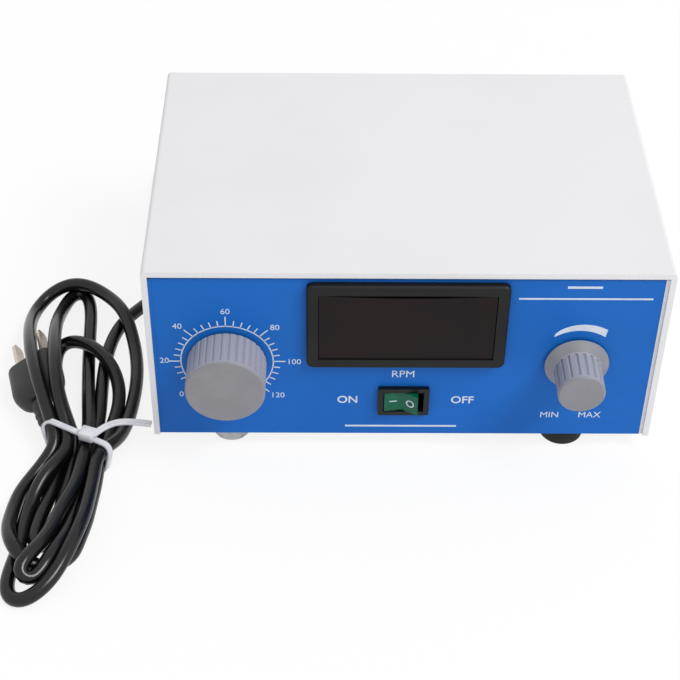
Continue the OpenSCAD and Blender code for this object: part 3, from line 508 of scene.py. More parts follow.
def knob_finish(name, axis, rim):
    """Grey moulded plastic, with a painted highlight on its ridges and painted shade in its flutes.
    """
    material = finish(
        name, chart(137, 137, 143), chart(132, 132, 138), 12 * MM, 0.22 * MM, 0.014 * MM, 0.42,
        spread=0.12,
        scuffs={"Scuff colour": chart(160, 160, 166), "Size": 90.0, "Width": 0.003, "Rarity": 0.68})
    tree = material.node_tree
    surface = tree.nodes["Principled BSDF"]
    tone = surface.inputs["Base Color"].links[0].from_socket
    place = put(tree, "TexCoord").outputs
    # painted highlight on the ridges and painted shade in the flutes, in place of the light and
    # shade that falls on them
    fluted = put(tree, "Group", {
        "Place": place["Object"], "Facing": place["Normal"], "Colour": tone,
        "Painted ridge highlight": chart(164, 164, 172), "Painted flute shade": chart(58, 58, 66),
        "Axis": axis, "Rim": rim, "Depth": FLUTE_D,
    }, node_tree=FLUTE_GROUP)
    tree.links.new(fluted.outputs["Colour"], surface.inputs["Base Color"])
    return material


FLUTE_GROUP, FLUTE_D = make_flute_group(), 1.0 * MM
TIMER_RIM, SPEED_RIM = 15.6 * MM, 9.2 * MM
dress(knob_finish("timer_grey", (TIMER_AXIS[0], 0, TIMER_AXIS[1]), TIMER_RIM), "timer_knob")
dress(knob_finish("speed_grey", (SPEED_AXIS[0], 0, SPEED_AXIS[1]), SPEED_RIM), "speed_knob")


# ---------------------------------------------------------------- Mains switch
# A snap-in rocker switch: black nylon frame and body, a rocker of clear green plastic that
# tips about a pin, with a white dash and ring filled into its two faces.

dress(finish(
    "switch_black", chart(13, 15, 17), chart(11, 12, 14), rough=0.36, spread=0.1,
    fixed={"Specular IOR Level": 0.3}, **BLACK_GRAIN), "switch_housing")
dress(finish(
    "rocker_green", chart(0, 122, 88), chart(0, 108, 78), 4 * MM, 0.5 * MM, 0.006 * MM, 0.16,
    spread=0.08,
    fixed={"Transmission Weight": 0.35, "IOR": 1.49, "Specular IOR Level": 0.12}), "switch_rocker")
dress(finish(
    "brass", chart(214, 184, 120), chart(200, 166, 98), 6 * MM, 0.4 * MM, 0.006 * MM, 0.32,
    spread=0.14, fixed={"Metallic": 1.0}), "switch_terminals", "board_standoffs")

SWITCH_Z = 28 * MM
PIVOT_OUT = -2 * MM
ROCKER_TURN = math.radians(11)
ROCKER_VALLEY = np.array([0, 1.2]) * MM
ROCKER_END = np.array([6.9, 3.4]) * MM


def on_rocker(side):
    """Puts print on one of the rocker's two faces: x runs from the valley to the face's end,
    z upwards, and the face leans by the rocker's turn at rest."""
    valley = ROCKER_VALLEY - [0, PIVOT_OUT]
    end = ROCKER_END * [side, 1] - [0, PIVOT_OUT]
    way = (end - valley) / np.linalg.norm(end - valley)
    out = np.array([-way[1], way[0]]) * side
    cos, sin = math.cos(ROCKER_TURN), math.sin(ROCKER_TURN)
    turn = np.array([[cos, sin], [-sin, cos]])

    def place(points):
        flat = (valley + points[:, :1] * way + (points[:, 2:] - INK_T / 3) * out) @ turn
        return np.stack(
            [flat[:, 0], LABEL_Y - PIVOT_OUT - flat[:, 1], SWITCH_Z + points[:, 1]], 1)
    return place


RING_R, RING_SIDES = 1.55 * MM, 36
MARK_W = 0.5 * MM
print_piece("rocker_dash", [bar(np.array([3.6, 0.3]) * MM, 3.1 * MM, MARK_W)], on_rocker(-1),
            "rocker")
print_piece("rocker_ring", [strip(*(
    arc((3.7 * MM, 0), RING_R + out, 0, 360 - 360 / RING_SIDES, RING_SIDES)
    for out in (-MARK_W / 2, MARK_W / 2)), loop=True)], on_rocker(1),
    "rocker")


# ---------------------------------------------------------------- Parts inside
# Control board on brass standoffs, with the mains transformer, a finned heat sink and its
# triac, two sleeved capacitors and the screw terminals that the leads go to.

dress(finish(
    "core_steel", chart(92, 92, 98), chart(70, 70, 76), 12 * MM, 0.5 * MM, 0.05 * MM, 0.42),
    "transformer")
dress(finish(
    "sink_aluminium", chart(206, 208, 212), chart(190, 192, 198), 9 * MM, 0.35 * MM, 0.01 * MM,
    0.34, spread=0.14, fixed={"Metallic": 1.0}), "heat_sink")
dress(finish(
    "capacitor_sleeve", chart(52, 60, 108), chart(44, 52, 96), 9 * MM, 0.4 * MM, 0.006 * MM, 0.35),
    "capacitors")
dress(finish(
    "terminal_green", chart(62, 150, 88), chart(52, 136, 78), 8 * MM, 0.3 * MM, 0.01 * MM, 0.45),
    "terminal_block")


# ---------------------------------------------------------------- Rear fittings
# Fuse holder with its bayonet cap, the round socket for the motor's lead and the strain
# relief of the mains cord, all clamped through the tray's rear wall.

dress(finish(
    "holder_black", chart(40, 40, 42), chart(33, 33, 35), rough=0.34, spread=0.1,
    **BLACK_GRAIN), "fuse_holder", "fuse_nut", "fuse_cap", "socket_insert")
dress(finish(
    "nickel", chart(214, 211, 204), chart(196, 192, 184), 6 * MM, 0.3 * MM, 0.004 * MM, 0.22,
    spread=0.12, fixed={"Metallic": 1.0}), "motor_socket", "socket_nut", "fuse_link")


# ---------------------------------------------------------------- Feet
# Three rubber feet and, at the front left, a turned steel glide that stands in for one;
# each is screwed up through the tray's floor.

CRISP_ANGLE = math.radians(35)
FOOT_PLACES = np.array([[68, -65], [86.5, 49], [-86.5, 49]]) * MM
FOOT_PROFILE = np.array([
    # radius and height, from the middle of the top over the side to the screw's recess
    (0, 7.5), (8.4, 7.5), (8.9, 7.1), (9.2, 6.4), (9.2, 1.2), (9.05, 0.6), (8.7, 0.15), (8.2, 0),
    (5.2, 0), (4.7, 0.2), (4.5, 0.6), (4.5, 3.4), (0, 3.4)]) * MM


def revolve(profile, centre, sides=48):
    """Carries a profile of radii and heights round an upright axis."""
    turn = np.arange(sides) * 2 * math.pi / sides
    radius, height = profile[:, :1], profile[:, 1:]
    points = np.stack([
        centre[0] + radius * np.cos(turn), centre[1] + radius * np.sin(turn),
        np.broadcast_to(height, (len(profile), sides))], -1).reshape(-1, 3)
    return points, ring_faces(len(profile), sides)


RUBBER = finish(
    "rubber_black", chart(24, 23, 25), chart(30, 29, 31), 6 * MM, 0.35 * MM, 0.03 * MM, 0.7,
    spread=0.14, fixed={"Specular IOR Level": 0.35})
feet_points, feet_faces = [], []
for place in FOOT_PLACES:
    points, faces = revolve(FOOT_PROFILE, place)
    feet_faces += [[k + len(feet_points) * len(points) for k in face] for face in faces]
    feet_points.append(points)
feet = close_up(add_mesh(
    "rubber_foot_set", np.vstack(feet_points), feet_faces, "case", RUBBER))
feet.modifiers.new("crisp_rims", "EDGE_SPLIT").split_angle = CRISP_ANGLE
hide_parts("rubber_feet")
dress(finish(
    "glide_steel", chart(168, 168, 171), chart(132, 132, 136), 5 * MM, 0.25 * MM, 0.005 * MM,
    0.22, spread=0.16, fixed={"Metallic": 1.0}), "steel_foot")


# ---------------------------------------------------------------- Mains cord
# Round black PVC cord, two loose bends behind the case and the rest folded over and over
# into a hank about 170 mm long. The strands are drawn together by the tie near the middle
# and lie on each other, so their places are settled here by a short relaxation.

CORD_D = 5.8 * MM
CORD_R = CORD_D / 2
CORD_ROUTE = [
    (-72, 95, 34.5), (-72, 100, 34.5), (-72, 106, 34), (-73, 112, 31), (-76, 119, 24),
    (-82, 125, 15), (-91, 129, 7), (-101, 129, 3), (-110, 124, 3), (-116, 115, 3),
    (-118, 103, 3), (-117, 88, 3), (-113, 72, 3), (-109, 56, 3), (-107, 42, 3),
    (-108, 28, 3), (-111, 18, 3), (-115, 12, 3),
]
HANK_STRANDS = {
    "from the case down to the tip": [
        (-121, 4, 3), (-127, -13, 3), (-129, -30, 3), (-128, -48, 3), (-128, -66, 3),
        (-130, -84, 3), (-131, -102, 4), (-132, -120, 6.5), (-135, -137, 8), (-142, -152, 6),
    ],
    "upper fold at the tip": [
        (-144, -153, 6), (-146, -154, 6.5), (-147, -153, 7), (-148, -153, 7.5),
        (-148, -152, 8.5), (-148, -151, 9.5), (-147, -149, 10.5),
    ],
    "back up to the small top fold": [
        (-140, -136, 10), (-134, -118, 8.5), (-131, -102, 9.5), (-130, -85, 8.5),
        (-130, -67, 8), (-133, -48, 4.5), (-136, -32, 3), (-137, -15, 3), (-138, 3, 3),
    ],
    "small top fold": [
        (-142, 20, 3), (-143, 22, 3), (-146, 22, 3), (-148, 21, 3), (-149, 19, 3),
    ],
    "down the left side, over the plug": [
        (-151, 8, 4), (-151, -5, 7), (-151, -18, 13), (-150, -32, 20), (-149, -46, 22.5),
        (-146, -59, 20), (-142, -71, 14), (-139, -84, 10), (-144, -100, 7), (-150, -115, 3),
        (-150, -132, 3), (-153, -151, 3),
    ],
    "lowest fold": [
        (-152, -159, 3), (-150, -161, 3), (-148, -162, 3), (-145, -161, 3.5),
    ],
    "up the right side": [
        (-138, -155, 6), (-130, -140, 10.5), (-126, -123, 11), (-125, -105, 9.5),
        (-120, -86, 7.5), (-116, -65, 3.5), (-114, -49, 3), (-114, -33, 3),
        (-117, -15, 4), (-123, 1, 8.5),
    ],
    "wide top loop": [
        (-133, 15, 7.5), (-143, 20, 9), (-153, 20, 7.5), (-160, 16, 4.5), (-163, 11, 3),
        (-164, 4, 3),
    ],
    "down over the plug": [
        (-163, -7, 5), (-161, -19, 11), (-158, -31, 18.5), (-155, -43, 21.8),
        (-152, -56, 21.5), (-149, -67, 16), (-146, -80, 8.5), (-147, -89, 5),
        (-155, -106, 3), (-155, -125, 5),
    ],
    "middle fold": [
        (-151, -141, 8.5), (-148, -143, 7), (-144, -145, 4.5), (-138, -144, 3),
        (-130, -140, 3),
    ],
    "up to the inner loop": [
        (-129, -131, 3), (-127, -115, 3), (-125, -97, 3), (-123, -79, 3),
        (-121, -60, 3), (-121, -42, 4), (-128, -29, 8.5),
    ],
    "inner loop": [
        (-141, -16, 7.5), (-147, -13, 4), (-152, -13, 3), (-154, -15, 3), (-155, -17, 3),
    ],
    "down under the tie": [
        (-155, -25, 3), (-151, -37, 3), (-142, -53, 3), (-137, -72, 3), (-136, -90, 3),
        (-137, -108, 3), (-138, -126, 3),
    ],
    "hidden fold": [
        (-141, -134, 3), (-144, -135, 3), (-146, -134, 3), (-147, -132, 3),
    ],
    "up to the plug": [
        (-147, -126, 3), (-143, -108, 3), (-141, -90, 3), (-144, -79, 4), (-149, -68, 7.5),
        (-151.3, -59.8, 9.6),
    ],
}
SETTLE_STEP, CORD_STEP, CORD_SIDES = 2.0 * MM, 1.5 * MM, 24
BESIDE_CASE = 12.6 * MM
HANK_START_Y = 36 * MM
TIE_AT = np.array([-133, -86]) * MM
TIE_TURN = math.radians(-21)
TIE_ALONG = np.array([math.cos(TIE_TURN), math.sin(TIE_TURN)])
TIE_ACROSS = np.array([-TIE_ALONG[1], TIE_ALONG[0]])
TIE_T, TIE_W = 1.3 * MM, 2.6 * MM
TIE_REACH, TIE_SPREAD = 20 * MM, 5 * MM
BUNDLE_HALF, BUNDLE_TOP = 9.3 * MM, 10.5 * MM
PLUG_AT = np.array([-163, -38, 6.866]) * MM
PLUG_TURN, PLUG_LEAN = math.radians(15.5), math.radians(30)
PLUG_T, PLUG_DEPTH, PLUG_R = 13 * MM, 23 * MM, 5.5 * MM
BLADE_GAP = 12.7 * MM
BLADE_SIZE = np.array([1.5, 6.3, 17]) * MM
PLUG_BLOCKS = [
    # middle along the blades' row, half width, half thickness, corner, back end, front end
    (BLADE_GAP / 2, (BLADE_GAP + PLUG_T) / 2, PLUG_T / 2, PLUG_R, -PLUG_DEPTH, 0),
    (0, BLADE_SIZE[0] / 2, BLADE_SIZE[1] / 2, 0, 0, BLADE_SIZE[2]),
    (BLADE_GAP, BLADE_SIZE[0] / 2, BLADE_SIZE[1] / 2, 0, 0, BLADE_SIZE[2]),
]
PLUG_AXES = np.array([
    [math.cos(PLUG_TURN) * math.cos(PLUG_LEAN), math.sin(PLUG_TURN) * math.cos(PLUG_LEAN),
     math.sin(PLUG_LEAN)],
    [-math.cos(PLUG_TURN) * math.sin(PLUG_LEAN), -math.sin(PLUG_TURN) * math.sin(PLUG_LEAN),
     math.cos(PLUG_LEAN)],
    [-math.sin(PLUG_TURN), math.cos(PLUG_TURN), 0],
])
PLUG_FACE = PLUG_AT + PLUG_AXES[0] * BLADE_GAP / 2
# how much the line resists bending, and how much more near the middle of the plug's face
STIFFNESS, PLUG_STIFFNESS, PLUG_SPREAD = 3.5, 1200.0, 20 * MM
# a round of settling: the pull back to the chosen line, the sinking, and the shares of a push
# off a strand or the plug and of the tie's pull
ROUNDS = 200
PULL_BACK, SINK = 0.08, 0.03 * MM
STRAND_PUSH, PLUG_PUSH, TIE_PULL = 1.4, 0.8, 0.6
STRAND_SPACE, PLUG_SPACE, FLOOR_SPACE = 0.05 * MM, 0.1 * MM, 0.02 * MM
# points held at the line's ends and how firmly, those at its end that may touch the plug, and
# how many points further on another strand begins
HELD_FIRST, HELD_LAST, HOLD = 6, 3, 1e4
IN_PLUG, NEXT_STRAND = 15, 5


def resample(path, step=None, count=None):
    """Spaces a path's points evenly, at about a step or, for a closed path, by their count."""
    run = np.append(0, np.cumsum(np.linalg.norm(np.diff(path, axis=0), axis=1)))
    if step:
        at = np.linspace(0, run[-1], int(round(run[-1] / step)) + 1)
    else:
        at = np.linspace(0, run[-1], count, endpoint=False)
    return np.stack([np.interp(at, run, part) for part in path.T], 1)


def even_curve(points, step):
    """Smooth curve through the points, resampled evenly: each stretch between two points is a
    cubic whose ends point along the chord of their neighbours."""
    p = np.asarray(points, float)
    p = np.vstack([2 * p[0] - p[1], p, 2 * p[-1] - p[-2]])
    a, b, c, d = p[:-3, None], p[1:-2, None], p[2:-1, None], p[3:, None]
    t = np.linspace(0, 1, 40, endpoint=False)[None, :, None]
    dense = 0.5 * (2 * b + (c - a) * t + (2 * a - 5 * b + 4 * c - d) * t ** 2
                   + (3 * b - a - 3 * c + d) * t ** 3)
    return resample(np.vstack([dense.reshape(-1, 3), p[-2]]), step)


def off_block(line, block):
    """How far each point has to move to clear a block of the plug by the cord's radius: its
    distance to a rounded outline, extruded from the block's back end to its front end."""
    middle, half_w, half_t, corner, back_end, front_end = block
    local = (line - PLUG_AT) @ PLUG_AXES.T - np.array([middle, 0, (back_end + front_end) / 2])
    core = np.abs(local) - np.array([half_w - corner, half_t - corner, (front_end - back_end) / 2])
    flat = np.clip(core[:, :2], 0, None)
    reach = np.linalg.norm(flat, axis=1)
    inner = core[:, 0] > core[:, 1]
    way = np.where(
        (reach > 0)[:, None], flat / np.maximum(reach, TINY)[:, None],
        np.stack([inner, ~inner], 1).astype(float))
    outside = np.where(reach > 0, reach, core[:, :2].max(1)) - corner
    beyond = np.clip(core[:, 2], 0, None)
    aside = np.clip(outside, 0, None)
    distance = np.hypot(aside, beyond) + np.clip(outside, None, 0) * (beyond == 0)
    safe = np.maximum(distance, TINY)
    way = np.concatenate([
        way * np.where(beyond > 0, aside / safe, 1)[:, None], (beyond / safe)[:, None],
    ], 1) * np.sign(local)
    return (np.clip(CORD_R + PLUG_SPACE - distance, 0, None)[:, None] * way) @ PLUG_AXES


def from_tie(line):
    """How far each point is from the tie's middle, across the strap and along it."""
    away = line[:, :2] - TIE_AT
    return away @ TIE_ACROSS, away @ TIE_ALONG


def settle(chosen):
    """Lets the cord come to rest near its chosen line. Each round pushes strands that are
    nearer than a diameter apart, draws the bundle in at the tie, lifts what crosses the plug,
    and then solves for the stiff line that is nearest to the moved points."""
    line = chosen.copy()
    count = len(line)
    weight = np.ones(count)
    weight[:HELD_FIRST] = weight[-HELD_LAST:] = HOLD
    bend = np.diff(np.eye(count), 2, axis=0)
    from_plug = np.linalg.norm(chosen[1:-1] - PLUG_FACE, axis=1)
    firmness = STIFFNESS + PLUG_STIFFNESS * np.exp(-(from_plug / PLUG_SPREAD) ** 2)
    stiff = np.linalg.inv(np.diag(weight) + bend.T @ (firmness[:, None] * bend))
    first, second = np.triu_indices(count, NEXT_STRAND)
    gap = CORD_D + STRAND_SPACE
    for _ in range(ROUNDS):
        goal = line + PULL_BACK * (chosen - line)
        goal[:, 2] -= SINK
        apart = line[first] - line[second]
        near = (np.abs(apart) < gap).all(1)
        i, j, apart = first[near], second[near], apart[near]
        length = np.linalg.norm(apart, axis=1)
        push = (np.clip(gap - length, 0, None) / np.maximum(length, 0.3 * MM))[:, None] * apart / 2
        moved = np.zeros_like(line)
        touches = np.zeros(count)
        np.add.at(moved, i, push)
        np.add.at(moved, j, -push)
        np.add.at(touches, i, length < gap)
        np.add.at(touches, j, length < gap)
        shared = np.maximum(touches, 1)[:, None]
        goal += STRAND_PUSH * moved / shared * np.minimum(touches, 2)[:, None]

        across, along = from_tie(line)
        at_tie = np.exp(-(across / TIE_SPREAD) ** 2) * (np.abs(along) < TIE_REACH)
        too_wide = np.sign(along) * np.clip(np.abs(along) - BUNDLE_HALF, 0, None)
        goal[:, :2] -= (TIE_PULL * too_wide * at_tie)[:, None] * TIE_ALONG
        goal[:, 2] -= TIE_PULL * np.clip(line[:, 2] - BUNDLE_TOP, 0, None) * at_tie
        floor = CORD_R + TIE_T * at_tie

        for block in PLUG_BLOCKS:
            goal[:-IN_PLUG] += PLUG_PUSH * off_block(line[:-IN_PLUG], block)

        behind = line[:, 1] > HANK_START_Y
        goal[behind, 0] = np.maximum(goal[behind, 0], case_low[0] - BESIDE_CASE)
        goal[:, 2] = np.maximum(goal[:, 2], floor)
        goal[:HELD_FIRST], goal[-HELD_LAST:] = chosen[:HELD_FIRST], chosen[-HELD_LAST:]
        line = stiff @ (weight[:, None] * goal)
        line[:, 2] = np.maximum(line[:, 2], CORD_R + FLOOR_SPACE)
    return line


def set_uv(piece, rings, sides, u_step, v_step, loop=False):
    """Gives a swept piece a UV map in metres: U runs along it and V around it."""
    mesh = piece.data
    i, k = face_grid(rings, sides, loop)
    corners = np.stack([
        np.stack([i, k], -1), np.stack([i, k + 1], -1),
        np.stack([i + 1, k + 1], -1), np.stack([i + 1, k], -1),
    ], 2).reshape(-1, 2) * np.array([u_step, v_step])
    uv = np.zeros((len(mesh.loops), 2))
    uv[:len(corners)] = corners
    mesh.uv_layers.new(name="UVMap").data.foreach_set("uv", uv.ravel())


def sweep(name, line, outline, material, loop=False, up=(0, 0, 1)):
    """Carries an outline along a line. The outline's first number goes to the side and its
    second upwards; it may be one outline, or one for each point of the line."""
    line = np.asarray(line, float)
    if loop:
        ahead = np.roll(line, -1, 0) - np.roll(line, 1, 0)
    else:
        ahead = np.gradient(line, axis=0)
    ahead /= np.linalg.norm(ahead, axis=1)[:, None]
    side = np.cross(ahead, np.broadcast_to(np.asarray(up, float), line.shape))
    side /= np.linalg.norm(side, axis=1)[:, None]
    rise = np.cross(side, ahead)
    outline = np.asarray(outline, float)
    if outline.ndim == 2:
        outline = np.broadcast_to(outline, (len(line),) + outline.shape)
    points = (line[:, None] + outline[..., :1] * side[:, None] + outline[..., 1:] * rise[:, None])
    sides = outline.shape[1]
    faces = ring_faces(len(line), sides, loop=loop)
    piece = add_mesh(name, points.reshape(-1, 3), faces, "case", material)
    lengths = np.linalg.norm(np.diff(line, axis=0), axis=1)
    around = np.linalg.norm(outline[0] - np.roll(outline[0], 1, 0), axis=1).mean()
    set_uv(piece, len(line), sides, lengths.mean(), around, loop=loop)
    return piece


def circle_outline(radius, sides):
    """Points of a circle, anticlockwise seen against the direction of travel."""
    turn = np.arange(sides) * 2 * math.pi / sides
    return np.stack([np.cos(turn), np.sin(turn)], 1) * radius


hank_points = [point for strand in HANK_STRANDS.values() for point in strand]
chosen_line = even_curve(np.array(CORD_ROUTE + hank_points) * MM, SETTLE_STEP)
cord_line = even_curve(settle(chosen_line), CORD_STEP)
cord_line[:, 1] = np.minimum(cord_line[:, 1], cad_box[1][1] - CORD_R)
cord = sweep("mains_lead", cord_line, circle_outline(CORD_R, CORD_SIDES), finish(
    "cord_black", chart(14, 14, 15), chart(11, 11, 12), 40 * MM, 0.5 * MM, 0.008 * MM, 0.22,
    spread=0.1, along=(0.25, 1, 1), fixed={"Specular IOR Level": 0.4},
    scuffs={"Scuff colour": chart(46, 46, 47), "Size": 60.0, "Width": 0.004, "Rarity": 0.62},
))
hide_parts("mains_cord", "cord_hank")
dress(finish(
    "relief_black", chart(42, 42, 44), chart(36, 36, 38), 10 * MM, 0.3 * MM, 0.014 * MM, 0.5,
    spread=0.12), "strain_relief")


# ---------------------------------------------------------------- Plug
# Moulded on the end of the cord: a flat body whose back rounds in to the cord, with a short
# ribbed sleeve, and two flat blades. It leans on the hank, so its blades stand on edge.

PLUG_BACK, PLUG_TAPER = 9 * MM, 6 * MM
FACE_BEVEL, PLUG_EASE = 0.9 * MM, 1.1 * MM
CORNER_POINTS = 8
PLUG_BLACK = finish(
    "plug_black", chart(36, 36, 39), chart(32, 32, 35), 14 * MM, 0.3 * MM, 0.014 * MM, 0.5,
    spread=0.12,
    scuffs={"Scuff colour": chart(84, 84, 88), "Size": 60.0, "Width": 0.005, "Rarity": 0.6})


def rounded_outline(half_w, half_h, corner):
    """Rectangle with arcs of a radius at its corners, anticlockwise."""
    turn = np.linspace(0, math.pi / 2, CORNER_POINTS)
    quarter = np.stack([np.cos(turn), np.sin(turn)], 1)
    return np.vstack([
        quarter @ np.array([[math.cos(q), math.sin(q)], [-math.sin(q), math.cos(q)]]) * corner
        + [(half_w - corner) * sx, (half_h - corner) * sy]
        for q, sx, sy in ((0, 1, 1), (math.pi / 2, -1, 1), (math.pi, -1, -1),
                          (1.5 * math.pi, 1, -1))])


def loft(name, rings, origin, axes, material):
    """Body through a row of rounded outlines. Each ring gives its place along the third axis
    and its half width, half height and corner."""
    sides = 4 * CORNER_POINTS
    outlines = [
        np.column_stack([rounded_outline(*ring[1:]), np.full(sides, ring[0])]) for ring in rings]
    points = np.vstack(outlines) @ np.asarray(axes) + origin
    return close_up(add_mesh(name, points, ring_faces(len(rings), sides), "case", material))


plug_w, plug_h = (BLADE_GAP + PLUG_T) / 2 - PLUG_EASE, PLUG_T / 2
back_turn = np.radians(np.linspace(0, 90, 9))
bevel_turn = np.radians(np.linspace(0, 90, 5))
plug_rings = [
    (-PLUG_DEPTH + PLUG_BACK * (1 - math.cos(a)), plug_w - PLUG_TAPER * (1 - math.sin(a)),
     plug_h - PLUG_TAPER / 2 * (1 - math.sin(a)), PLUG_R - PLUG_TAPER / 2 * (1 - math.sin(a)))
    for a in back_turn]
plug_rings += [
    (-FACE_BEVEL * (1 - math.sin(a)), plug_w - FACE_BEVEL * (1 - math.cos(a)),
     plug_h - FACE_BEVEL * (1 - math.cos(a)), PLUG_R - FACE_BEVEL * (1 - math.cos(a)))
    for a in bevel_turn]
plug = loft("plug_moulding", plug_rings, PLUG_FACE, PLUG_AXES, PLUG_BLACK)
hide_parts("plug_body")
dress(finish(
    "blade_nickel", chart(226, 216, 206), chart(214, 202, 190), 5 * MM, 0.3 * MM, 0.004 * MM,
    0.34, spread=0.12, fixed={"Metallic": 0.7}), "plug_pins")

SLEEVE_POINTS, SLEEVE_SIDES = 9, 32
SLEEVE_R, RIB, RIBS = 4.3 * MM, 0.3 * MM, 4
sleeve_line = even_curve(cord_line[-SLEEVE_POINTS:], 0.5 * MM)
share = np.linspace(0, 1, len(sleeve_line))
ribs = RIB * (np.sin(share * (2 * RIBS) * math.pi) > 0)
sleeve_r = CORD_R + RIB + (SLEEVE_R - CORD_R - RIB) * share - ribs
sleeve = sweep(
    "plug_sleeve", sleeve_line, circle_outline(1, SLEEVE_SIDES)[None] * sleeve_r[:, None, None],
    PLUG_BLACK)


# ---------------------------------------------------------------- Cable tie
# White nylon strap drawn tight round the hank: it lies on whichever strand stands furthest
# out, is held by its head on top, and its uncut end runs across to the case.

TIE_LIFT = 0.35 * MM
TIE_GROOVE = np.array([0.7, 0.18]) * MM
TIE_LEAN = 0.3
TIE_HEAD = np.array([6.4, 5.6, 4.4]) * MM
HEAD_EDGE, HEAD_CORNER, HEAD_SINK = 0.5 * MM, 0.8 * MM, 0.6 * MM
HEAD_ALONG, STRAP_TOP = 3.2 * MM, 8 * MM
TAIL_START, TAIL_STEP = 2 * MM, 1 * MM
TAIL_POINTS = np.array([
    (-121.5, -79.5, 15.5), (-116.3, -77, 15.4), (-110, -76.8, 15.2), (-103.4, -77.6, 15)]) * MM
TIE_NYLON = finish(
    "tie_nylon", chart(222, 222, 226), chart(214, 216, 222), 5 * MM, 0.3 * MM, 0.008 * MM, 0.4,
    spread=0.1)


def strap_line(line, count=160, ways=240):
    """Where the strap lies: for each way out from the bundle's middle, the strand that stands
    furthest out carries it, and it runs straight from strand to strand."""
    across, along = from_tie(line)
    off_strap = np.abs(across - TIE_LEAN * np.clip(line[:, 2] - CORD_R, 0, None))
    here = (off_strap < TIE_W / 2) & (np.abs(along) < TIE_REACH)
    strands = np.stack([along, line[:, 2]], 1)[here]
    turn = np.linspace(0, 2 * math.pi, ways, endpoint=False)
    out = np.stack([np.cos(turn), np.sin(turn)], 1)
    carrier = (strands @ out.T).argmax(0)
    flat = strands[carrier] + (CORD_R + TIE_T / 2) * out
    flat = resample(np.vstack([flat, flat[:1]]), count=count)
    flat[:, 1] = np.maximum(flat[:, 1], TIE_T / 2 + TIE_LIFT)
    lean = TIE_LEAN * np.clip(flat[:, 1] - CORD_R, 0, None)
    place = TIE_AT + flat[:, :1] * TIE_ALONG + lean[:, None] * TIE_ACROSS
    return np.column_stack([place, flat[:, 1]]), flat


strap_outline = np.array([
    [-TIE_W / 2, -TIE_T / 2], [TIE_W / 2, -TIE_T / 2], [TIE_W / 2, TIE_T / 2],
    [TIE_GROOVE[0], TIE_T / 2], [TIE_GROOVE[0] * 0.8, TIE_T / 2 - TIE_GROOVE[1]],
    [-TIE_GROOVE[0] * 0.8, TIE_T / 2 - TIE_GROOVE[1]], [-TIE_GROOVE[0], TIE_T / 2],
    [-TIE_W / 2, TIE_T / 2]])
tie_line, tie_flat = strap_line(cord_line)
strap = close_up(sweep(
    "tie_strap", tie_line, strap_outline, TIE_NYLON, loop=True,
    up=tie_line - tie_line.mean(0)))
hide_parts("cable_tie")

top = int(np.argmin(np.abs(tie_flat[:, 0] - HEAD_ALONG) + (tie_flat[:, 1] < STRAP_TOP)))
head_at = tie_line[top] + np.array([0, 0, TIE_HEAD[2] / 2 - HEAD_SINK])
head_axes = np.array([[*TIE_ALONG, 0], [*TIE_ACROSS, 0], [0, 0, 1]])
head_rings = [
    (z * (TIE_HEAD[2] / 2 - drop), TIE_HEAD[0] / 2 - inset, TIE_HEAD[1] / 2 - inset,
     HEAD_CORNER - inset * 0.5)
    for z, drop, inset in (
        (-1, 0, HEAD_EDGE), (-1, HEAD_EDGE, 0), (1, HEAD_EDGE, 0), (1, 0, HEAD_EDGE))]
tie_head = loft("tie_head", head_rings, head_at, head_axes, TIE_NYLON)
tail_line = even_curve(
    np.vstack([head_at + head_axes[0] * TAIL_START, TAIL_POINTS]), TAIL_STEP)
tie_tail = close_up(sweep("tie_tail", tail_line, strap_outline, TIE_NYLON))


# ---------------------------------------------------------------- Studio
# White floor and backdrop, even light from all round and one large soft lamp high at the
# front right, and the camera above the front.

FLOOR_REACH = 4
SKY = 0.6
LAMP_AT, LAMP_SIZE, LAMP_POWER = (1.6, -1.1, 2.6), 1.2, 57.0
SEEN_WHITE = 0.84


def seen_directly(tree):
    """1 for what the camera sees itself or in a mirror or through glass, and 0 for light."""
    path = put(tree, "LightPath").outputs
    seen = maths(tree, "MAXIMUM", path["Is Camera Ray"], path["Is Glossy Ray"])
    return maths(tree, "MAXIMUM", seen, path["Is Transmission Ray"])


def floor_white():
    """Pale matt floor that is lifted towards white where it is seen, and keeps its shadows."""
    material = bpy.data.materials.new("floor_white")
    material.use_nodes = True
    tree = material.node_tree
    tree.nodes.clear()
    matt = put(tree, "BsdfDiffuse", {"Color": chart(252, 252, 252)})
    glow = put(tree, "Emission", {"Color": (1, 1, 1, 1), "Strength": 1.0})
    share = maths(tree, "MULTIPLY", seen_directly(tree), SEEN_WHITE)
    both = put(tree, "MixShader", {0: share, 1: matt.outputs[0], 2: glow.outputs[0]})
    put(tree, "OutputMaterial", {"Surface": both.outputs[0]})
    return material


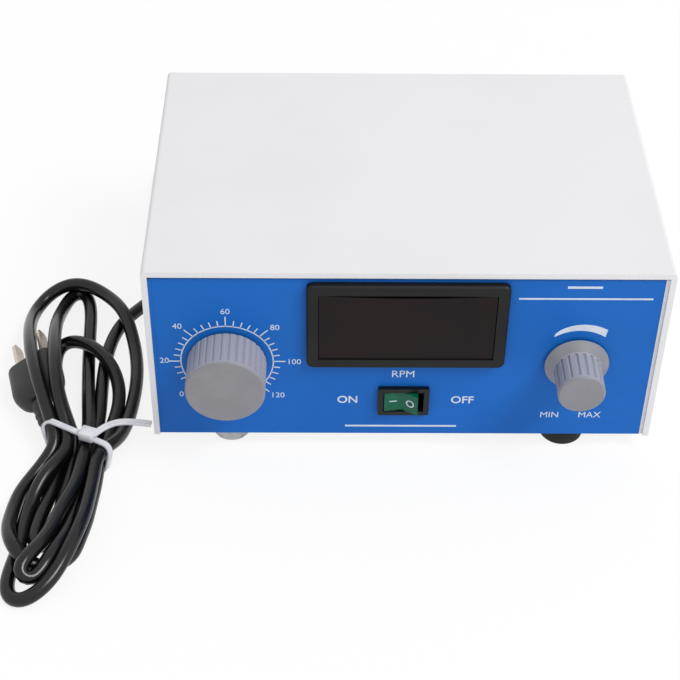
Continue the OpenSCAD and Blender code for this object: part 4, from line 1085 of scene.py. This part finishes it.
floor_mesh = bpy.data.meshes.new("floor")
floor_mesh.from_pydata(
    [(x * FLOOR_REACH, y * FLOOR_REACH, 0) for x, y in ((-1, -1), (1, -1), (1, 1), (-1, 1))],
    [], [(0, 1, 2, 3)])
floor_mesh.materials.append(floor_white())
floor = bpy.data.objects.new("floor", floor_mesh)
bpy.context.scene.collection.objects.link(floor)

world = bpy.data.worlds.new("studio")
bpy.context.scene.world = world
world.use_nodes = True
sky = world.node_tree
light = maths(sky, "MULTIPLY_ADD", seen_directly(sky), 1 - SKY, SKY)
sky.links.new(light, sky.nodes["Background"].inputs["Strength"])
sky.nodes["Background"].inputs["Color"].default_value = (1, 1, 1, 1)


def hang(name, data, at, back, roll=0.0):
    """Places a lamp or a camera: what it looks at is opposite to back, a unit vector, and it
    is rolled about that."""
    right = np.cross((0, 0, 1), back)
    right /= np.linalg.norm(right)
    over = np.cross(back, right)
    axes = np.stack([
        math.cos(roll) * right + math.sin(roll) * over,
        math.cos(roll) * over - math.sin(roll) * right, back], 1)
    hung = bpy.data.objects.new(name, data)
    bpy.context.scene.collection.objects.link(hung)
    hung.matrix_world = Matrix.Translation(at) @ Matrix(axes.tolist()).to_4x4()
    return hung


lamp_data = bpy.data.lights.new("soft_lamp", "AREA")
lamp_data.size = LAMP_SIZE
lamp_data.energy = LAMP_POWER
hang("soft_lamp", lamp_data, LAMP_AT, np.array(LAMP_AT) / np.linalg.norm(LAMP_AT))

CAMERA_AT = (-0.03264, -0.55164, 0.47785)
FOCAL_PIXELS, FRAME_PIXELS, SENSOR_MM = 1605.3, 680, 36
azimuth, rise, roll = np.radians([-0.789, 41.298, 0.731])
camera_data = bpy.data.cameras.new("camera")
camera_data.sensor_width = SENSOR_MM
camera_data.lens = SENSOR_MM * FOCAL_PIXELS / FRAME_PIXELS
camera = hang("camera", camera_data, CAMERA_AT, np.array([
    math.sin(azimuth) * math.cos(rise), -math.cos(azimuth) * math.cos(rise), math.sin(rise)]),
    roll)
bpy.context.scene.camera = camera
bpy.context.scene.view_settings.view_transform = "Standard"
